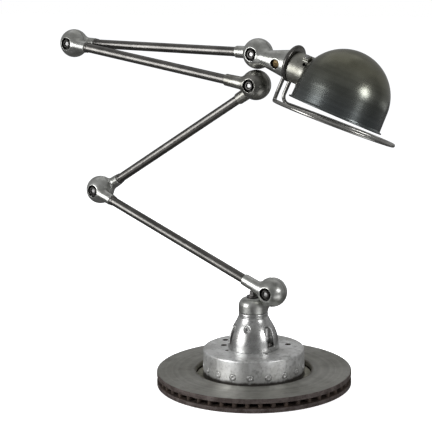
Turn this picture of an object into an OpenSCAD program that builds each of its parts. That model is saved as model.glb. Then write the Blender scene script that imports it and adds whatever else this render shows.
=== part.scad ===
// Jointed workshop lamp on a brake disc base.
// Four tube arms zigzag between split ball joints, from a swivelling foot up to a domed reflector
// with a rod guard. Units are millimetres. The disc stands on z = 0, and the origin lies under the
// middle of the lamp's overall length.
// The arms move in the XZ plane: odd arms hang on the front (-Y) ball halves, even arms on the back ones.

/* [Arms] */
// distance between neighbouring ball centres
arm_len = 400; // [280:5:600]
// rest angle of arm 1 above +X
arm_1_lean = 159; // [150:0.5:163]
// rest angle of arm 2 above +X
arm_2_lean = 30.7; // [25:0.1:45]
// rest angle of arm 3 above +X
arm_3_lean = 171.3; // [165:0.1:174]
// air between the two balls that come together when arms 3 and 4 fold
fold_gap = 1.1; // [0.8:0.1:20]
// outside diameter of an arm tube
tube_d = 16; // [12:0.5:18]
// wall of an arm tube
tube_wall = 1.5; // [1:0.1:3]
// height of the rolled bead that meets the short sockets
bead_rise = 1.1; // [0.5:0.1:1.5]
// width of that bead
bead_w = 5; // [3:0.5:8]

/* [Ball joints] */
// ball diameter
ball_d = 50.5; // [46:0.5:54]
// air between the two halves of a ball
seam = 0.6; // [0.6:0.1:1.2]
// distance of an arm's centre line from the seam
arm_off = 13; // [12:0.5:14]
// wall of a socket around its tube, at the mouth
socket_wall = 2; // [1.5:0.1:2.5]
// how much wider a socket is at the ball than at its mouth
socket_taper = 2.4; // [0:0.2:3]
// distance of a long socket's mouth from the ball centre
reach_long = 52; // [46:1:70]
// distance of a short socket's mouth from the ball centre
reach_short = 40; // [38:1:46]
// length of tube held in a socket
tube_grip = 11; // [8:1:12]
// diameter of the recess at each ball pole
recess_d = 21.5; // [19:0.5:24]
// height of the recess floor above the seam plane
recess_floor = 17; // [14:0.5:18]
// pivot bolt diameter
pivot_d = 8; // [6:0.5:10]
// bolt head and nut diameter
nut_d = 15; // [13:0.5:17]
// bolt head and nut thickness
nut_h = 5.5; // [4:0.5:6]
// width of the mouth in the nut that shows the bolt end
nut_mouth_d = 9; // [8.5:0.5:12]
// depth of that mouth
nut_mouth_h = 2; // [1:0.5:3]
// diameter of the insulating contact discs inside a ball
contact_d = 38; // [30:1:40]
// thickness of those discs
contact_h = 3; // [2:0.5:4]
// bore of those discs around the pivot bolt
contact_bore = 14; // [12:1:16]
// width of a contact ring
ring_w = 3; // [2:0.5:4]
// thickness of a contact ring
ring_h = 1; // [0.5:0.1:1.5]
// inner radius of the first contact ring
ring_r1 = 8.5; // [8:0.5:9]
// inner radius of the second contact ring
ring_r2 = 14; // [13:0.5:14.5]

/* [Brake disc] */
// distance of the disc's axis from the middle of the lamp's overall length
base_x = 73; // [0:1:200]
// outside diameter of the friction ring
disc_d = 334; // [280:1:380]
// thickness of the friction ring
disc_h = 24; // [20:1:30]
// thickness of each friction plate
plate_h = 8; // [6:0.5:9]
// opening of the friction ring
disc_hole = 199; // [190:1:220]
// vanes between the plates
vanes = 48; // [24:2:60]
// thickness of a vane
vane_w = 7; // [4:0.5:9]
// how far the vanes stop short of the plate edges
vane_back = 3; // [2:0.5:10]

/* [Hat] */
// outside diameter of the hat
hat_d = 174; // [160:1:180]
// height of the hat's top above the table
hat_top = 62; // [52:1:80]
// side wall of the hat
hat_wall = 9; // [7:0.5:12]
// top plate of the hat
hat_plate = 10; // [8:0.5:14]
// radius of the hat's top edge
hat_edge = 6; // [3:0.5:8]
// underside of the hat's flange above the table
flange_z = 4; // [2:0.5:6]
// thickness of the flange that carries the friction ring
flange_h = 10; // [6:0.5:14]
// radial pins in the hat wall
pins = 18; // [12:1:24]
// pin diameter
pin_d = 10.5; // [8:0.5:12]
// height of the pins above the table
pin_z = 32.5; // [28:0.5:40]
// depth of a pin in the wall
pin_len = 6; // [4:0.5:6.5]
// how far the pin ends stand out of the wall
pin_out = 0.4; // [0.2:0.1:1]
// opening in the hat's top plate for the cable grommet
grommet_d = 36; // [28:1:40]
// cable hole of the grommet
cable_d = 9; // [6:0.5:12]
// diameter of the large holes in the hat's top
lug_d = 10.5; // [8:0.5:14]
// diameter of the small holes in the hat's top
tap_d = 6; // [4:0.5:7]
// distance from the axis and direction of each large hole
lug_spots = [[52.6, -158.7], [60.7, 47], [65.8, 172.4]];
// distance from the axis and direction of each small hole
tap_spots = [[48.5, -29], [50, -122]];

/* [Foot] */
// diameter of the foot on the hat
foot_d = 87.4; // [80:0.5:96]
// height of the foot
foot_h = 62.5; // [58:0.5:80]
// radius of the bell curve
bell_r = 85; // [75:1:110]
// diameter of the foot's neck and of the swivel dome
neck_d = 50; // [46:0.5:54]
// bore of the foot
foot_bore = 42; // [36:1:44]
// thickness of the web under the swivel
web_h = 9; // [7:0.5:12]
// diameter of the bolt pockets
pocket_d = 14; // [12:0.5:15]
// distance of the bolts from the foot axis
pocket_r = 35; // [33:0.5:36]
// ledge under the bolt heads
ledge_h = 8; // [6:0.5:10]
// height of the bolt pockets
pocket_h = 34; // [25:1:38]
// direction of the first pocket
pocket_turn = -11; // [-60:1:60]
// bolt diameter
foot_bolt_d = 6; // [5:0.5:7]
// bolt head diameter
foot_bolt_head_d = 10; // [9:0.5:10.5]
// bolt head height
foot_bolt_head_h = 6; // [4:0.5:7]
// set screw hole diameter
set_d = 10.5; // [8:0.5:12]
// height of the set screw above the foot's bottom
set_z = 39; // [37:0.5:44]
// direction of the set screw
set_turn = -75; // [-90:1:-60]
// wall left behind the set screw
set_seat = 7; // [3:0.5:8]
// length of the set screw
set_len = 5; // [4:0.5:6]
// depth of the socket in the set screw
set_socket = 3; // [2:0.5:3.5]

/* [Swivel] */
// air between foot and dome
swivel_gap = 0.5; // [0.3:0.1:1]
// height of the dome
dome_h = 25; // [24:0.5:26]
// radius of the dome's shoulder
dome_edge = 14; // [10:0.5:15]
// swivel bolt diameter
swivel_d = 10; // [8:0.5:12]
// swivel bolt head diameter
swivel_head_d = 16; // [14:0.5:20]
// swivel bolt head height
swivel_head_h = 6; // [4:0.5:8]
// depth of the hollow under the dome
dome_hollow = 11; // [8:0.5:13]
// wall around that hollow
dome_wall = 6; // [5:0.5:9]
// distance of the first ball from the swivel axis
pivot_out = 39; // [39:0.5:46]
// height of the first ball above the foot
pivot_rise = 39.5; // [39:0.5:46]
// diameter of the neck between dome and ball
stem_d = 22; // [18:0.5:22]
// washer diameter on the dome
washer_d = 22; // [18:0.5:22]
// washer thickness
washer_h = 2.5; // [2:0.1:3]
// nut width on the washer
swivel_nut_d = 14; // [14:0.5:16]
// nut height
swivel_nut_h = 7.5; // [6:0.5:8]

/* [Head] */
// tilt of the head axis below +X
head_lean = 18.2; // [0:0.1:40]
// height of the head axis above the ball centre
head_rise = 4; // [0:0.5:8]
// distance of the bracket's face from the ball centre
bracket_len = 65; // [60:0.5:70]
// diameter of the bracket's face
bracket_d = 47; // [42:0.5:50]
// length of the round end of the bracket
bracket_end = 6; // [4:0.5:8]
// diameter of the bracket's root in the ball half
bracket_root = 22; // [18:0.5:23]
// distance of that root from the ball centre
root_x = 12; // [8:0.5:15]
// spigot the reflector turns on
spigot_d = 30; // [26:0.5:32]
// cable bore of the spigot
spigot_bore = 20; // [12:0.5:20]
// length of the spigot in the bracket
spigot_len = 21.5; // [20:0.5:23]
// groove in the spigot for the retaining screw, width
groove_w = 7; // [6:0.5:8]
// groove depth
groove_h = 3; // [2:0.5:4]
// distance of the retaining screw from the bracket's face
screw_back = 16; // [14:0.5:16]
// recess of the retaining screw
screw_recess_d = 15; // [12:0.5:16]
// retaining screw head diameter
screw_head_d = 13; // [10:0.5:14]
// retaining screw head height
screw_head_h = 2.5; // [2:0.1:3]
// retaining screw shank diameter
screw_d = 5; // [4:0.5:6]
// wall of the bracket under the screw head
screw_seat = 3; // [2.5:0.1:4]
// width of the slot in the screw head
slot_w = 1.5; // [1:0.1:2]
// depth of that slot
slot_h = 1.2; // [0.8:0.1:1.5]
// direction of the retaining screw above the front
screw_turn = -7; // [-20:1:30]

/* [Reflector] */
// turn of the reflector about the head axis
shade_roll = -16; // [-40:1:40]
// guard collar diameter
collar_d = 62; // [58:0.5:66]
// how far the collar's round lies above the head axis
collar_rise = 4; // [0:0.5:5]
// guard collar thickness
collar_h = 8; // [6:0.5:10]
// lampholder cover diameter
cover_d = 51; // [47:0.5:52]
// lampholder cover length
cover_len = 31; // [28:0.5:40]
// wall of the cover
cover_wall = 2; // [1.5:0.1:3]
// plate at the cover's closed end
cover_plate = 3; // [2:0.5:4]
// side of a clamp lug
lug_w = 11; // [9:0.5:12]
// how far the lugs stand out of the cover
lug_rise = 5; // [4:0.5:7]
// direction of the first lug from the top of the cover
lug_turn = 45; // [0:1:60]
// diameter of the small hole beside each lug
eye_d = 6; // [3:0.5:6.5]
// turn of that hole from its lug
eye_turn = 25; // [24:1:40]
// distance of that hole from the cover's end
eye_back = 4; // [4:0.5:8]
// clamp screw diameter
clamp_d = 5; // [4:0.5:6]
// clamp screw head diameter
clamp_head_d = 8; // [7:0.5:9]
// clamp screw head height
clamp_head_h = 2; // [1.5:0.1:3]
// radius of the shade's dome
shade_r = 75; // [70:0.5:84]
// height of the skirt under the dome
skirt_h = 32; // [28:0.5:40]
// how much the skirt flares
skirt_flare = 1; // [0:0.1:6]
// sheet thickness of the shade
shade_wall = 1.2; // [1:0.1:2]
// radius of the rolled rim
rim_r = 1.3; // [1:0.1:2]
// how far the rim stands out of the skirt
lip_w = 3.2; // [2.2:0.1:5]
// distance of the dome's centre below the head axis
shade_drop = 14; // [8:0.5:20]
// diameter of the round pad that meets the cover
pad_d = 52; // [52:0.5:56]
// how deep the flat seat of the cover lies inside the dome
pad_in = 5.7; // [4:0.1:7]
// guard rod diameter at the ring and the bends
rod_d = 6.4; // [5:0.2:8]
// mean diameter of the guard ring
guard_d = 200; // [190:1:208]
// distance from the guard's legs to the back of its ring
guard_back = 8.1; // [5:0.1:14]
// distance of the guard's heels below the rim
guard_drop = 15; // [12:0.5:30]
// rise of the guard ring towards its front
guard_tilt = 1.9; // [-2:0.1:4]
// turn of the guard about the head axis
guard_turn = 1.5; // [-5:0.5:5]
// distance between the guard's legs
leg_gap = 24; // [18:1:38]
// bend radius of the legs
leg_bend = 14; // [8:0.5:16]
// how much thinner the guard's straight ends and legs are
rod_draw = 0.4; // [0.3:0.1:1]

/* [Lampholder and bulb] */
// lampholder body diameter
holder_d = 40; // [38:0.5:42]
// length of the lampholder inside the shade
holder_out = 14; // [13:0.5:18]
// thickness of the lampholder's flange
holder_flange = 4; // [3:0.5:6]
// thickness of the lampholder's floor
holder_floor = 9; // [7:0.5:10]
// wall of the threaded shell in the lampholder
shell_wall = 1.2; // [0.8:0.1:2]
// floor of that shell
shell_floor = 2; // [1:0.5:3]
// how far the shell lies inside the lampholder's mouth
shell_back = 2; // [1:0.5:3]
// bulb cap diameter
cap_d = 26; // [25:0.5:27]
// bulb cap length
cap_h = 24; // [22:0.5:26]
// bulb diameter
bulb_d = 60; // [50:1:65]
// bulb length without its cap
bulb_h = 78; // [70:1:82]
// glass thickness
glass_wall = 1; // [0.6:0.1:1.5]
// slope of the bulb's neck where it meets the round part
neck_turn = 25; // [15:1:40]
// thickness of the clamp ring inside the shade
clamp_ring_h = 5; // [4:0.5:7]
// width of the clamp ring
clamp_ring_w = 4.5; // [4:0.1:4.7]

/* [Clearances] */
// radial play of a turning fit
run_fit = 0.05; // [0.02:0.01:0.1]
// end play of a turning fit
end_fit = 0.4; // [0.3:0.05:1]

/* [Hidden] */
$fn = 96;
aluminium = [0.72, 0.73, 0.74];
steel = [0.30, 0.30, 0.31];
iron = [0.45, 0.44, 0.43];
black = [0.12, 0.12, 0.12];
copper = [0.75, 0.48, 0.32];
brass = [0.78, 0.62, 0.32];
glass = [0.95, 0.95, 0.9];
over = 1;
ball_r = ball_d / 2;
// arms 3 and 4 fold until their outer balls nearly meet
arm_4_lean = arm_3_lean - 2 * acos((ball_d + fold_gap) / (2 * arm_len));
lean = [arm_1_lean, arm_2_lean, arm_3_lean, arm_4_lean];
set_x = foot_bore / 2 + set_seat;
foot_top = hat_top + foot_h;
dome_z = foot_top + swivel_gap;
dome_top = dome_z + dome_h;
ball_1 = [base_x + pivot_out, 0, foot_top + pivot_rise];
function along(a) = arm_len * [cos(a), 0, sin(a)];
ball_2 = ball_1 + along(lean[0]);
ball_3 = ball_2 + along(lean[1]);
ball_4 = ball_3 + along(lean[2]);
ball_5 = ball_4 + along(lean[3]);
balls = [ball_1, ball_2, ball_3, ball_4, ball_5];
// side of an arm: -1 on the front ball halves, 1 on the back ones
function arm_side(k) = k % 2 == 1 ? -1 : 1;
// sockets are long at the odd balls and short at the even ones
function reach(b) = b % 2 == 1 ? reach_long : reach_short;
socket_d = tube_d + 2 * socket_wall;
screw_z = spigot_d / 2 + screw_seat;
rail_x = bracket_len + end_fit;
cover_x = rail_x + collar_h;
holder_x = cover_x + cover_plate;
pad_x = cover_x + cover_len;
shade_x = pad_x + shade_r - pad_in;
// the seat takes the lugs and their screw heads too
seat_d = cover_d + 2 * (lug_rise + clamp_head_h + over);
shell_d = cap_d + 2 * shell_wall;
shell_x = holder_x + holder_floor;
cap_x = pad_x + holder_out - shell_back;
rim_z = -shade_drop - skirt_h;
rim_out = shade_r + skirt_flare;

// places a shape on the disc's axis, at height z
module on_base(z = 0) {
  translate([base_x, 0, z]) children();
}

// places a shape at ball b
module at_ball(b) {
  translate(balls[b - 1]) children();
}

// places a shape on arm k, with x along the arm from its lower ball
module on_arm(k) {
  translate(balls[k - 1]) rotate([0, -lean[k - 1], 0]) children();
}

// turns z to point out of the seam on one side
module out_of_seam(side) {
  rotate([-90 * side, 0, 0]) children();
}

// the head's own frame: x along the head axis, z up
module on_head() {
  translate(ball_5) rotate([0, head_lean, 0]) translate([0, 0, head_rise]) children();
}

// the reflector's frame: the head's frame turned about its axis
module on_reflector() {
  on_head() rotate([shade_roll, 0, 0]) children();
}

// a round bar along x
module bar_x(d, x0, x1) {
  translate([x0, 0, 0]) rotate([0, 90, 0]) cylinder(d = d, h = x1 - x0);
}

// space on one side of the seam
module half_space(side) {
  translate([-arm_len, side > 0 ? seam / 2 : -arm_len - seam / 2, -arm_len])
    cube([2 * arm_len, arm_len, 2 * arm_len]);
}

// half a ball
module half_ball(side) {
  intersection() {
    sphere(d = ball_d);
    half_space(side);
  }
}

// recess, pivot bore and contact pocket of a ball half
module ball_cuts(side, play) {
  out_of_seam(side) {
    translate([0, 0, recess_floor]) cylinder(d = recess_d, h = ball_r);
    cylinder(d = pivot_d + 2 * play, h = ball_r);
    cylinder(d = contact_d, h = seam / 2 + contact_h);
  }
}

// tapered tube socket on a ball half, along x
module socket(side, len) {
  translate([0, side * arm_off, 0]) rotate([0, 90, 0])
    cylinder(d1 = socket_d + socket_taper, d2 = socket_d, h = len);
}

// ball half with its tube socket; the ball is at the origin and the arm runs along x
module ball_half_with_socket(side, len, play) {
  difference() {
    union() {
      half_ball(side);
      socket(side, len);
    }
    ball_cuts(side, play);
    translate([0, side * arm_off, 0]) bar_x(tube_d, len - tube_grip, len + over);
  }
}

// lower end of arm k, on its own ball: it turns on the pivot bolt
module arm_lower(k) {
  on_arm(k) ball_half_with_socket(arm_side(k), reach(k), run_fit);
}

// upper end of arm k, on the next ball: it holds the pivot bolt
module arm_upper(k) {
  on_arm(k) translate([arm_len, 0, 0]) rotate([0, 180, 0])
    ball_half_with_socket(arm_side(k), reach(k + 1), 0);
}

// tube of arm k with a bead where it meets its short socket
module arm_tube(k) {
  x0 = reach(k) - tube_grip;
  x1 = arm_len - reach(k + 1) + tube_grip;
  bead_x = k % 2 == 1 ? arm_len - reach_short - bead_w : reach_short;
  on_arm(k) translate([0, arm_side(k) * arm_off, 0])
    difference() {
      union() {
        bar_x(tube_d, x0, x1);
        bar_x(tube_d + 2 * bead_rise, bead_x, bead_x + bead_w);
      }
      bar_x(tube_d - 2 * tube_wall, x0 - over, x1 + over);
    }
}

// side of ball b that holds the pivot bolt
function held_side(b) = b % 2 == 1 ? 1 : -1;
// height of the bolt head or nut over the seam plane on one side
function seat(b, side) = recess_floor + (side == held_side(b) ? 0 : end_fit);

// pivot bolt of ball b, head at the back
module pivot_bolt(b) {
  back = seat(b, 1);
  front = seat(b, -1) + nut_h - nut_mouth_h;
  at_ball(b) difference() {
    union() {
      out_of_seam(1) translate([0, 0, back]) cylinder(d = nut_d, h = nut_h);
      out_of_seam(1) translate([0, 0, -front]) cylinder(d = pivot_d, h = back + front);
    }
    out_of_seam(1) translate([0, 0, back + nut_h - nut_mouth_h])
      cylinder(d = nut_mouth_d, h = over + nut_mouth_h);
  }
}

// round pivot nut of ball b, at the front
module pivot_nut(b) {
  at_ball(b) out_of_seam(-1) translate([0, 0, seat(b, -1)])
    difference() {
      cylinder(d = nut_d, h = nut_h);
      translate([0, 0, -over]) cylinder(d = pivot_d, h = nut_h + 2 * over);
      translate([0, 0, nut_h - nut_mouth_h]) cylinder(d = nut_mouth_d, h = nut_h);
    }
}

// flat ring with its face on z = 0
module flat_ring(r0, r1, h) {
  difference() {
    cylinder(r = r1, h = h);
    translate([0, 0, -over]) cylinder(r = r0, h = h + 2 * over);
  }
}

// insulating disc of ball b on the side that holds the bolt, grooved for its rings
module contact_disc(b) {
  at_ball(b) out_of_seam(held_side(b)) translate([0, 0, seam / 2])
    difference() {
      flat_ring(contact_bore / 2, contact_d / 2, contact_h);
      translate([0, 0, -over]) flat_ring(ring_r1, ring_r1 + ring_w, over + ring_h);
      translate([0, 0, -over]) flat_ring(ring_r2, ring_r2 + ring_w, over + ring_h);
    }
}

// copper rings of ball b
module contact_rings(b) {
  at_ball(b) out_of_seam(held_side(b)) translate([0, 0, seam / 2]) {
    flat_ring(ring_r1, ring_r1 + ring_w, ring_h);
    flat_ring(ring_r2, ring_r2 + ring_w, ring_h);
  }
}

// insulating disc of ball b on the turning side
module brush_disc(b) {
  at_ball(b) out_of_seam(-held_side(b)) translate([0, 0, seam / 2])
    flat_ring(contact_bore / 2, contact_d / 2, contact_h);
}

// vented cast iron ring: two plates joined by vanes
module friction_ring() color(iron) on_base() {
  flat_ring(disc_hole / 2, disc_d / 2, plate_h);
  translate([0, 0, disc_h - plate_h]) flat_ring(disc_hole / 2, disc_d / 2, plate_h);
  for (i = [0 : vanes - 1])
    rotate([0, 0, i * 360 / vanes])
      translate([disc_hole / 2 + vane_back, -vane_w / 2, plate_h - over / 2])
        cube([(disc_d - disc_hole) / 2 - 2 * vane_back, vane_w, disc_h - 2 * plate_h + over]);
}

// holes through the hat's top plate
module hat_holes(spots, d) {
  for (p = spots)
    rotate([0, 0, p[1]]) translate([p[0], 0, hat_top - hat_plate - over])
      cylinder(d = d, h = hat_plate + 2 * over);
}

// cast hat with a flange in the ring's opening
module disc_hat() color(aluminium) on_base()
  difference() {
    rotate_extrude() {
      square([hat_d / 2 - hat_edge, hat_top]);
      square([hat_d / 2, hat_top - hat_edge]);
      translate([hat_d / 2 - hat_edge, hat_top - hat_edge]) intersection() {
        circle(r = hat_edge);
        square(hat_edge);
      }
      translate([0, flange_z]) square([disc_hole / 2, flange_h]);
    }
    translate([0, 0, -over]) cylinder(d = disc_d, h = over + flange_z);
    translate([0, 0, -over]) cylinder(d = hat_d - 2 * hat_wall, h = over + hat_top - hat_plate);
    translate([0, 0, -over]) cylinder(d = grommet_d, h = hat_top + 2 * over);
    for (i = [0 : pins - 1])
      rotate([0, 0, i * 360 / pins]) translate([0, 0, pin_z])
        bar_x(pin_d, hat_d / 2 - pin_len, hat_d / 2 + over);
    hat_holes(lug_spots, lug_d);
    hat_holes(tap_spots, tap_d);
    for (i = [0 : 2])
      rotate([0, 0, pocket_turn + i * 120]) translate([pocket_r, 0, hat_top - hat_plate - over])
        cylinder(d = foot_bolt_d, h = hat_plate + 2 * over);
  }

// pins pressed into the hat wall
module hat_pins() color(steel) on_base()
  for (i = [0 : pins - 1])
    rotate([0, 0, i * 360 / pins]) translate([0, 0, pin_z])
      bar_x(pin_d, hat_d / 2 - pin_len, hat_d / 2 + pin_out);

// rubber grommet for the cable in the hat's top plate
module cable_grommet() color(black)
  on_base(hat_top - hat_plate) flat_ring(cable_d / 2, grommet_d / 2, hat_plate);

// bell-shaped foot with three bolt pockets
module foot() color(aluminium)
  on_base(hat_top)
    difference() {
      rotate_extrude() {
        intersection() {
          translate([foot_d / 2 - bell_r, 0]) circle(r = bell_r, $fn = 240);
          square([foot_d / 2, foot_h]);
        }
        square([neck_d / 2, foot_h]);
      }
      translate([0, 0, -over]) cylinder(d = foot_bore, h = over + foot_h - web_h);
      cylinder(d = swivel_d, h = foot_h + over);
      for (i = [0 : 2])
        rotate([0, 0, pocket_turn + i * 120]) translate([pocket_r, 0, 0]) {
          translate([0, 0, ledge_h]) cylinder(d = pocket_d, h = pocket_h);
          translate([0, -pocket_d / 2, ledge_h]) cube([foot_d, pocket_d, pocket_h - pocket_d / 2]);
          translate([0, 0, ledge_h + pocket_h - pocket_d / 2]) bar_x(pocket_d, 0, foot_d);
          translate([0, 0, -over]) cylinder(d = foot_bolt_d, h = ledge_h + 2 * over);
        }
      rotate([0, 0, set_turn]) translate([0, 0, set_z]) bar_x(set_d, set_x, foot_d);
    }

// bolts from the foot's pockets into the hat
module foot_bolts() color(steel) on_base()
  for (i = [0 : 2])
    rotate([0, 0, pocket_turn + i * 120]) translate([pocket_r, 0, hat_top]) {
      translate([0, 0, -hat_plate]) cylinder(d = foot_bolt_d, h = hat_plate + ledge_h + over);
      translate([0, 0, ledge_h]) cylinder(d = foot_bolt_head_d, h = foot_bolt_head_h);
    }

// set screw in the foot, below its surface
module set_screw() color(steel)
  on_base() rotate([0, 0, set_turn]) translate([0, 0, hat_top + set_z])
    difference() {
      bar_x(set_d, set_x, set_x + set_len);
      bar_x(set_d / 2, set_x + set_len - set_socket, set_x + set_len + over);
    }

// bolt the dome turns on
module swivel_bolt() color(steel) on_base() {
  translate([0, 0, foot_top - web_h - swivel_head_h]) cylinder(d = swivel_head_d, h = swivel_head_h);
  translate([0, 0, foot_top - web_h - over])
    cylinder(d = swivel_d, h = web_h + over + swivel_gap + dome_h + end_fit + washer_h + swivel_nut_h);
}

// washer and nut over the dome
module swivel_nut() color(black)
  on_base(dome_top + end_fit)
    difference() {
      union() {
        cylinder(d = washer_d, h = washer_h);
        cylinder(d = swivel_nut_d, h = washer_h + swivel_nut_h, $fn = 6);
      }
      translate([0, 0, -over]) cylinder(d = swivel_d, h = dome_h);
    }

// dome that turns on the foot and carries the back half of ball 1
module swivel_dome() color(aluminium) {
  fall = [pivot_out - neck_d / 8, 0, pivot_rise - swivel_gap - dome_h / 3];
  difference() {
    union() {
      on_base(dome_z) rotate_extrude() {
        square([neck_d / 2 - dome_edge, dome_h]);
        square([neck_d / 2, dome_h - dome_edge]);
        translate([neck_d / 2 - dome_edge, dome_h - dome_edge]) intersection() {
          circle(r = dome_edge);
          square(dome_edge);
        }
      }
      at_ball(1) half_ball(1);
      at_ball(1) translate([0, arm_off, 0]) rotate([0, 180 + atan2(fall[0], fall[2]), 0])
        cylinder(d = stem_d, h = norm(fall));
    }
    at_ball(1) ball_cuts(1, 0);
    at_ball(1) intersection() {
      sphere(d = ball_d + 2 * end_fit);
      translate([0, seam, 0]) half_space(-1);
    }
    on_base(foot_top) cylinder(d = neck_d - 2 * dome_wall, h = swivel_gap + dome_hollow);
    on_base(foot_top) cylinder(d = swivel_d + 2 * run_fit, h = dome_h + dome_z);
  }
}

// bracket of the head with the front half of ball 5 and the spigot bore
module head_bracket() color(aluminium)
  difference() {
    union() {
      translate(ball_5) half_ball(-1);
      hull() {
        translate(ball_5) rotate([0, head_lean, 0]) translate([0, -arm_off, 0])
          bar_x(bracket_root, root_x, root_x + over);
        on_head() bar_x(bracket_d, bracket_len - bracket_end, bracket_len);
      }
    }
    at_ball(5) ball_cuts(-1, run_fit);
    translate(ball_5) intersection() {
      sphere(d = ball_d + 2 * end_fit);
      translate([0, -seam, 0]) half_space(1);
    }
    on_head() bar_x(spigot_d + 2 * run_fit, bracket_len - spigot_len - end_fit, bracket_len + over);
    on_head() translate([bracket_len - screw_back, 0, 0]) rotate([90 - screw_turn, 0, 0]) {
      translate([0, 0, screw_z]) cylinder(d = screw_recess_d, h = bracket_d);
      cylinder(d = screw_d, h = bracket_d);
    }
  }

// brass slotted screw that keeps the spigot in the bracket
module retaining_screw() color(brass)
  on_head() translate([bracket_len - screw_back, 0, 0]) rotate([90 - screw_turn, 0, 0])
    difference() {
      union() {
        translate([0, 0, spigot_d / 2 - groove_h + end_fit])
          cylinder(d = screw_d, h = groove_h + screw_seat);
        translate([0, 0, screw_z]) cylinder(d = screw_head_d, h = screw_head_h);
      }
      translate([-screw_head_d, -slot_w / 2, screw_z + screw_head_h - slot_h])
        cube([2 * screw_head_d, slot_w, slot_h + over]);
    }

// lampholder cover with its spigot and clamp lugs
module holder_cover() color(aluminium)
  on_reflector() difference() {
    union() {
      bar_x(spigot_d, bracket_len - spigot_len, cover_x + over);
      bar_x(cover_d, cover_x, pad_x);
      for (a = [0 : 120 : 240])
        rotate([lug_turn + a, 0, 0]) translate([pad_x - lug_w, -lug_w / 2, cover_d / 2 - cover_wall])
          cube([lug_w, lug_w, cover_wall + lug_rise]);
    }
    bar_x(spigot_bore, bracket_len - spigot_len - over, pad_x);
    bar_x(cover_d - 2 * cover_wall, holder_x, pad_x + over);
    translate([bracket_len - screw_back - groove_w / 2, 0, 0]) rotate([0, 90, 0])
      flat_ring(spigot_d / 2 - groove_h, spigot_d, groove_w);
    for (a = [0 : 120 : 240])
      rotate([lug_turn + a, 0, 0]) {
        translate([pad_x - lug_w / 2, 0, 0]) cylinder(d = clamp_d, h = cover_d);
        rotate([eye_turn, 0, 0]) translate([pad_x - eye_back, 0, 0]) cylinder(d = eye_d, h = cover_d);
      }
  }

// screws in the clamp lugs
module clamp_screws() color(steel)
  on_reflector() for (a = [0 : 120 : 240])
    rotate([lug_turn + a, 0, 0]) translate([pad_x - lug_w / 2, 0, cover_d / 2 - cover_wall]) {
      cylinder(d = clamp_d, h = cover_wall + lug_rise + over);
      translate([0, 0, cover_wall + lug_rise]) cylinder(d = clamp_head_d, h = clamp_head_h);
    }

// insulating lampholder in the cover, reaching through the shade's pad
module lampholder() color(black)
  on_reflector() difference() {
    union() {
      bar_x(cover_d - 2 * cover_wall, holder_x, holder_x + holder_flange);
      bar_x(holder_d, holder_x, pad_x + holder_out);
    }
    bar_x(shell_d, shell_x, pad_x + holder_out + over);
  }

// threaded shell in the lampholder
module holder_shell() color(brass)
  on_reflector() difference() {
    bar_x(shell_d, shell_x, cap_x);
    bar_x(cap_d, shell_x + shell_floor, cap_x + over);
  }

// ring that clamps the shade's pad on the lampholder
module clamp_ring() color(black)
  on_reflector() translate([pad_x + shade_wall, 0, 0]) rotate([0, 90, 0])
    flat_ring(holder_d / 2, holder_d / 2 + clamp_ring_w, clamp_ring_h);

// solid of the shade, drawn in by t all over
module shade_form(t) {
  difference() {
    translate([shade_x, 0, -shade_drop]) rotate_extrude($fn = 144) {
      intersection() {
        circle(r = shade_r - t, $fn = 240);
        square(shade_r);
      }
      polygon([
        [0, 0],
        [shade_r - t, 0],
        [rim_out - t, -skirt_h],
        [rim_out - t, -skirt_h - t],
        [0, -skirt_h - t]
      ]);
    }
    bar_x(seat_d + 2 * t, pad_x - shade_r, pad_x + t);
  }
  bar_x(pad_d - 2 * t, pad_x + t, shade_x);
}

// spun shade with a rolled rim and a flat pad
module shade() color(steel)
  on_reflector() difference() {
    union() {
      shade_form(0);
      translate([shade_x, 0, rim_z]) rotate_extrude($fn = 144) {
        translate([rim_out - shade_wall, 0]) square([shade_wall + lip_w - rim_r, 2 * rim_r]);
        translate([rim_out + lip_w - rim_r, rim_r]) circle(r = rim_r, $fn = 32);
      }
    }
    shade_form(shade_wall);
    bar_x(holder_d, pad_x - over, pad_x + 2 * over + shade_wall);
  }

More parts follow.
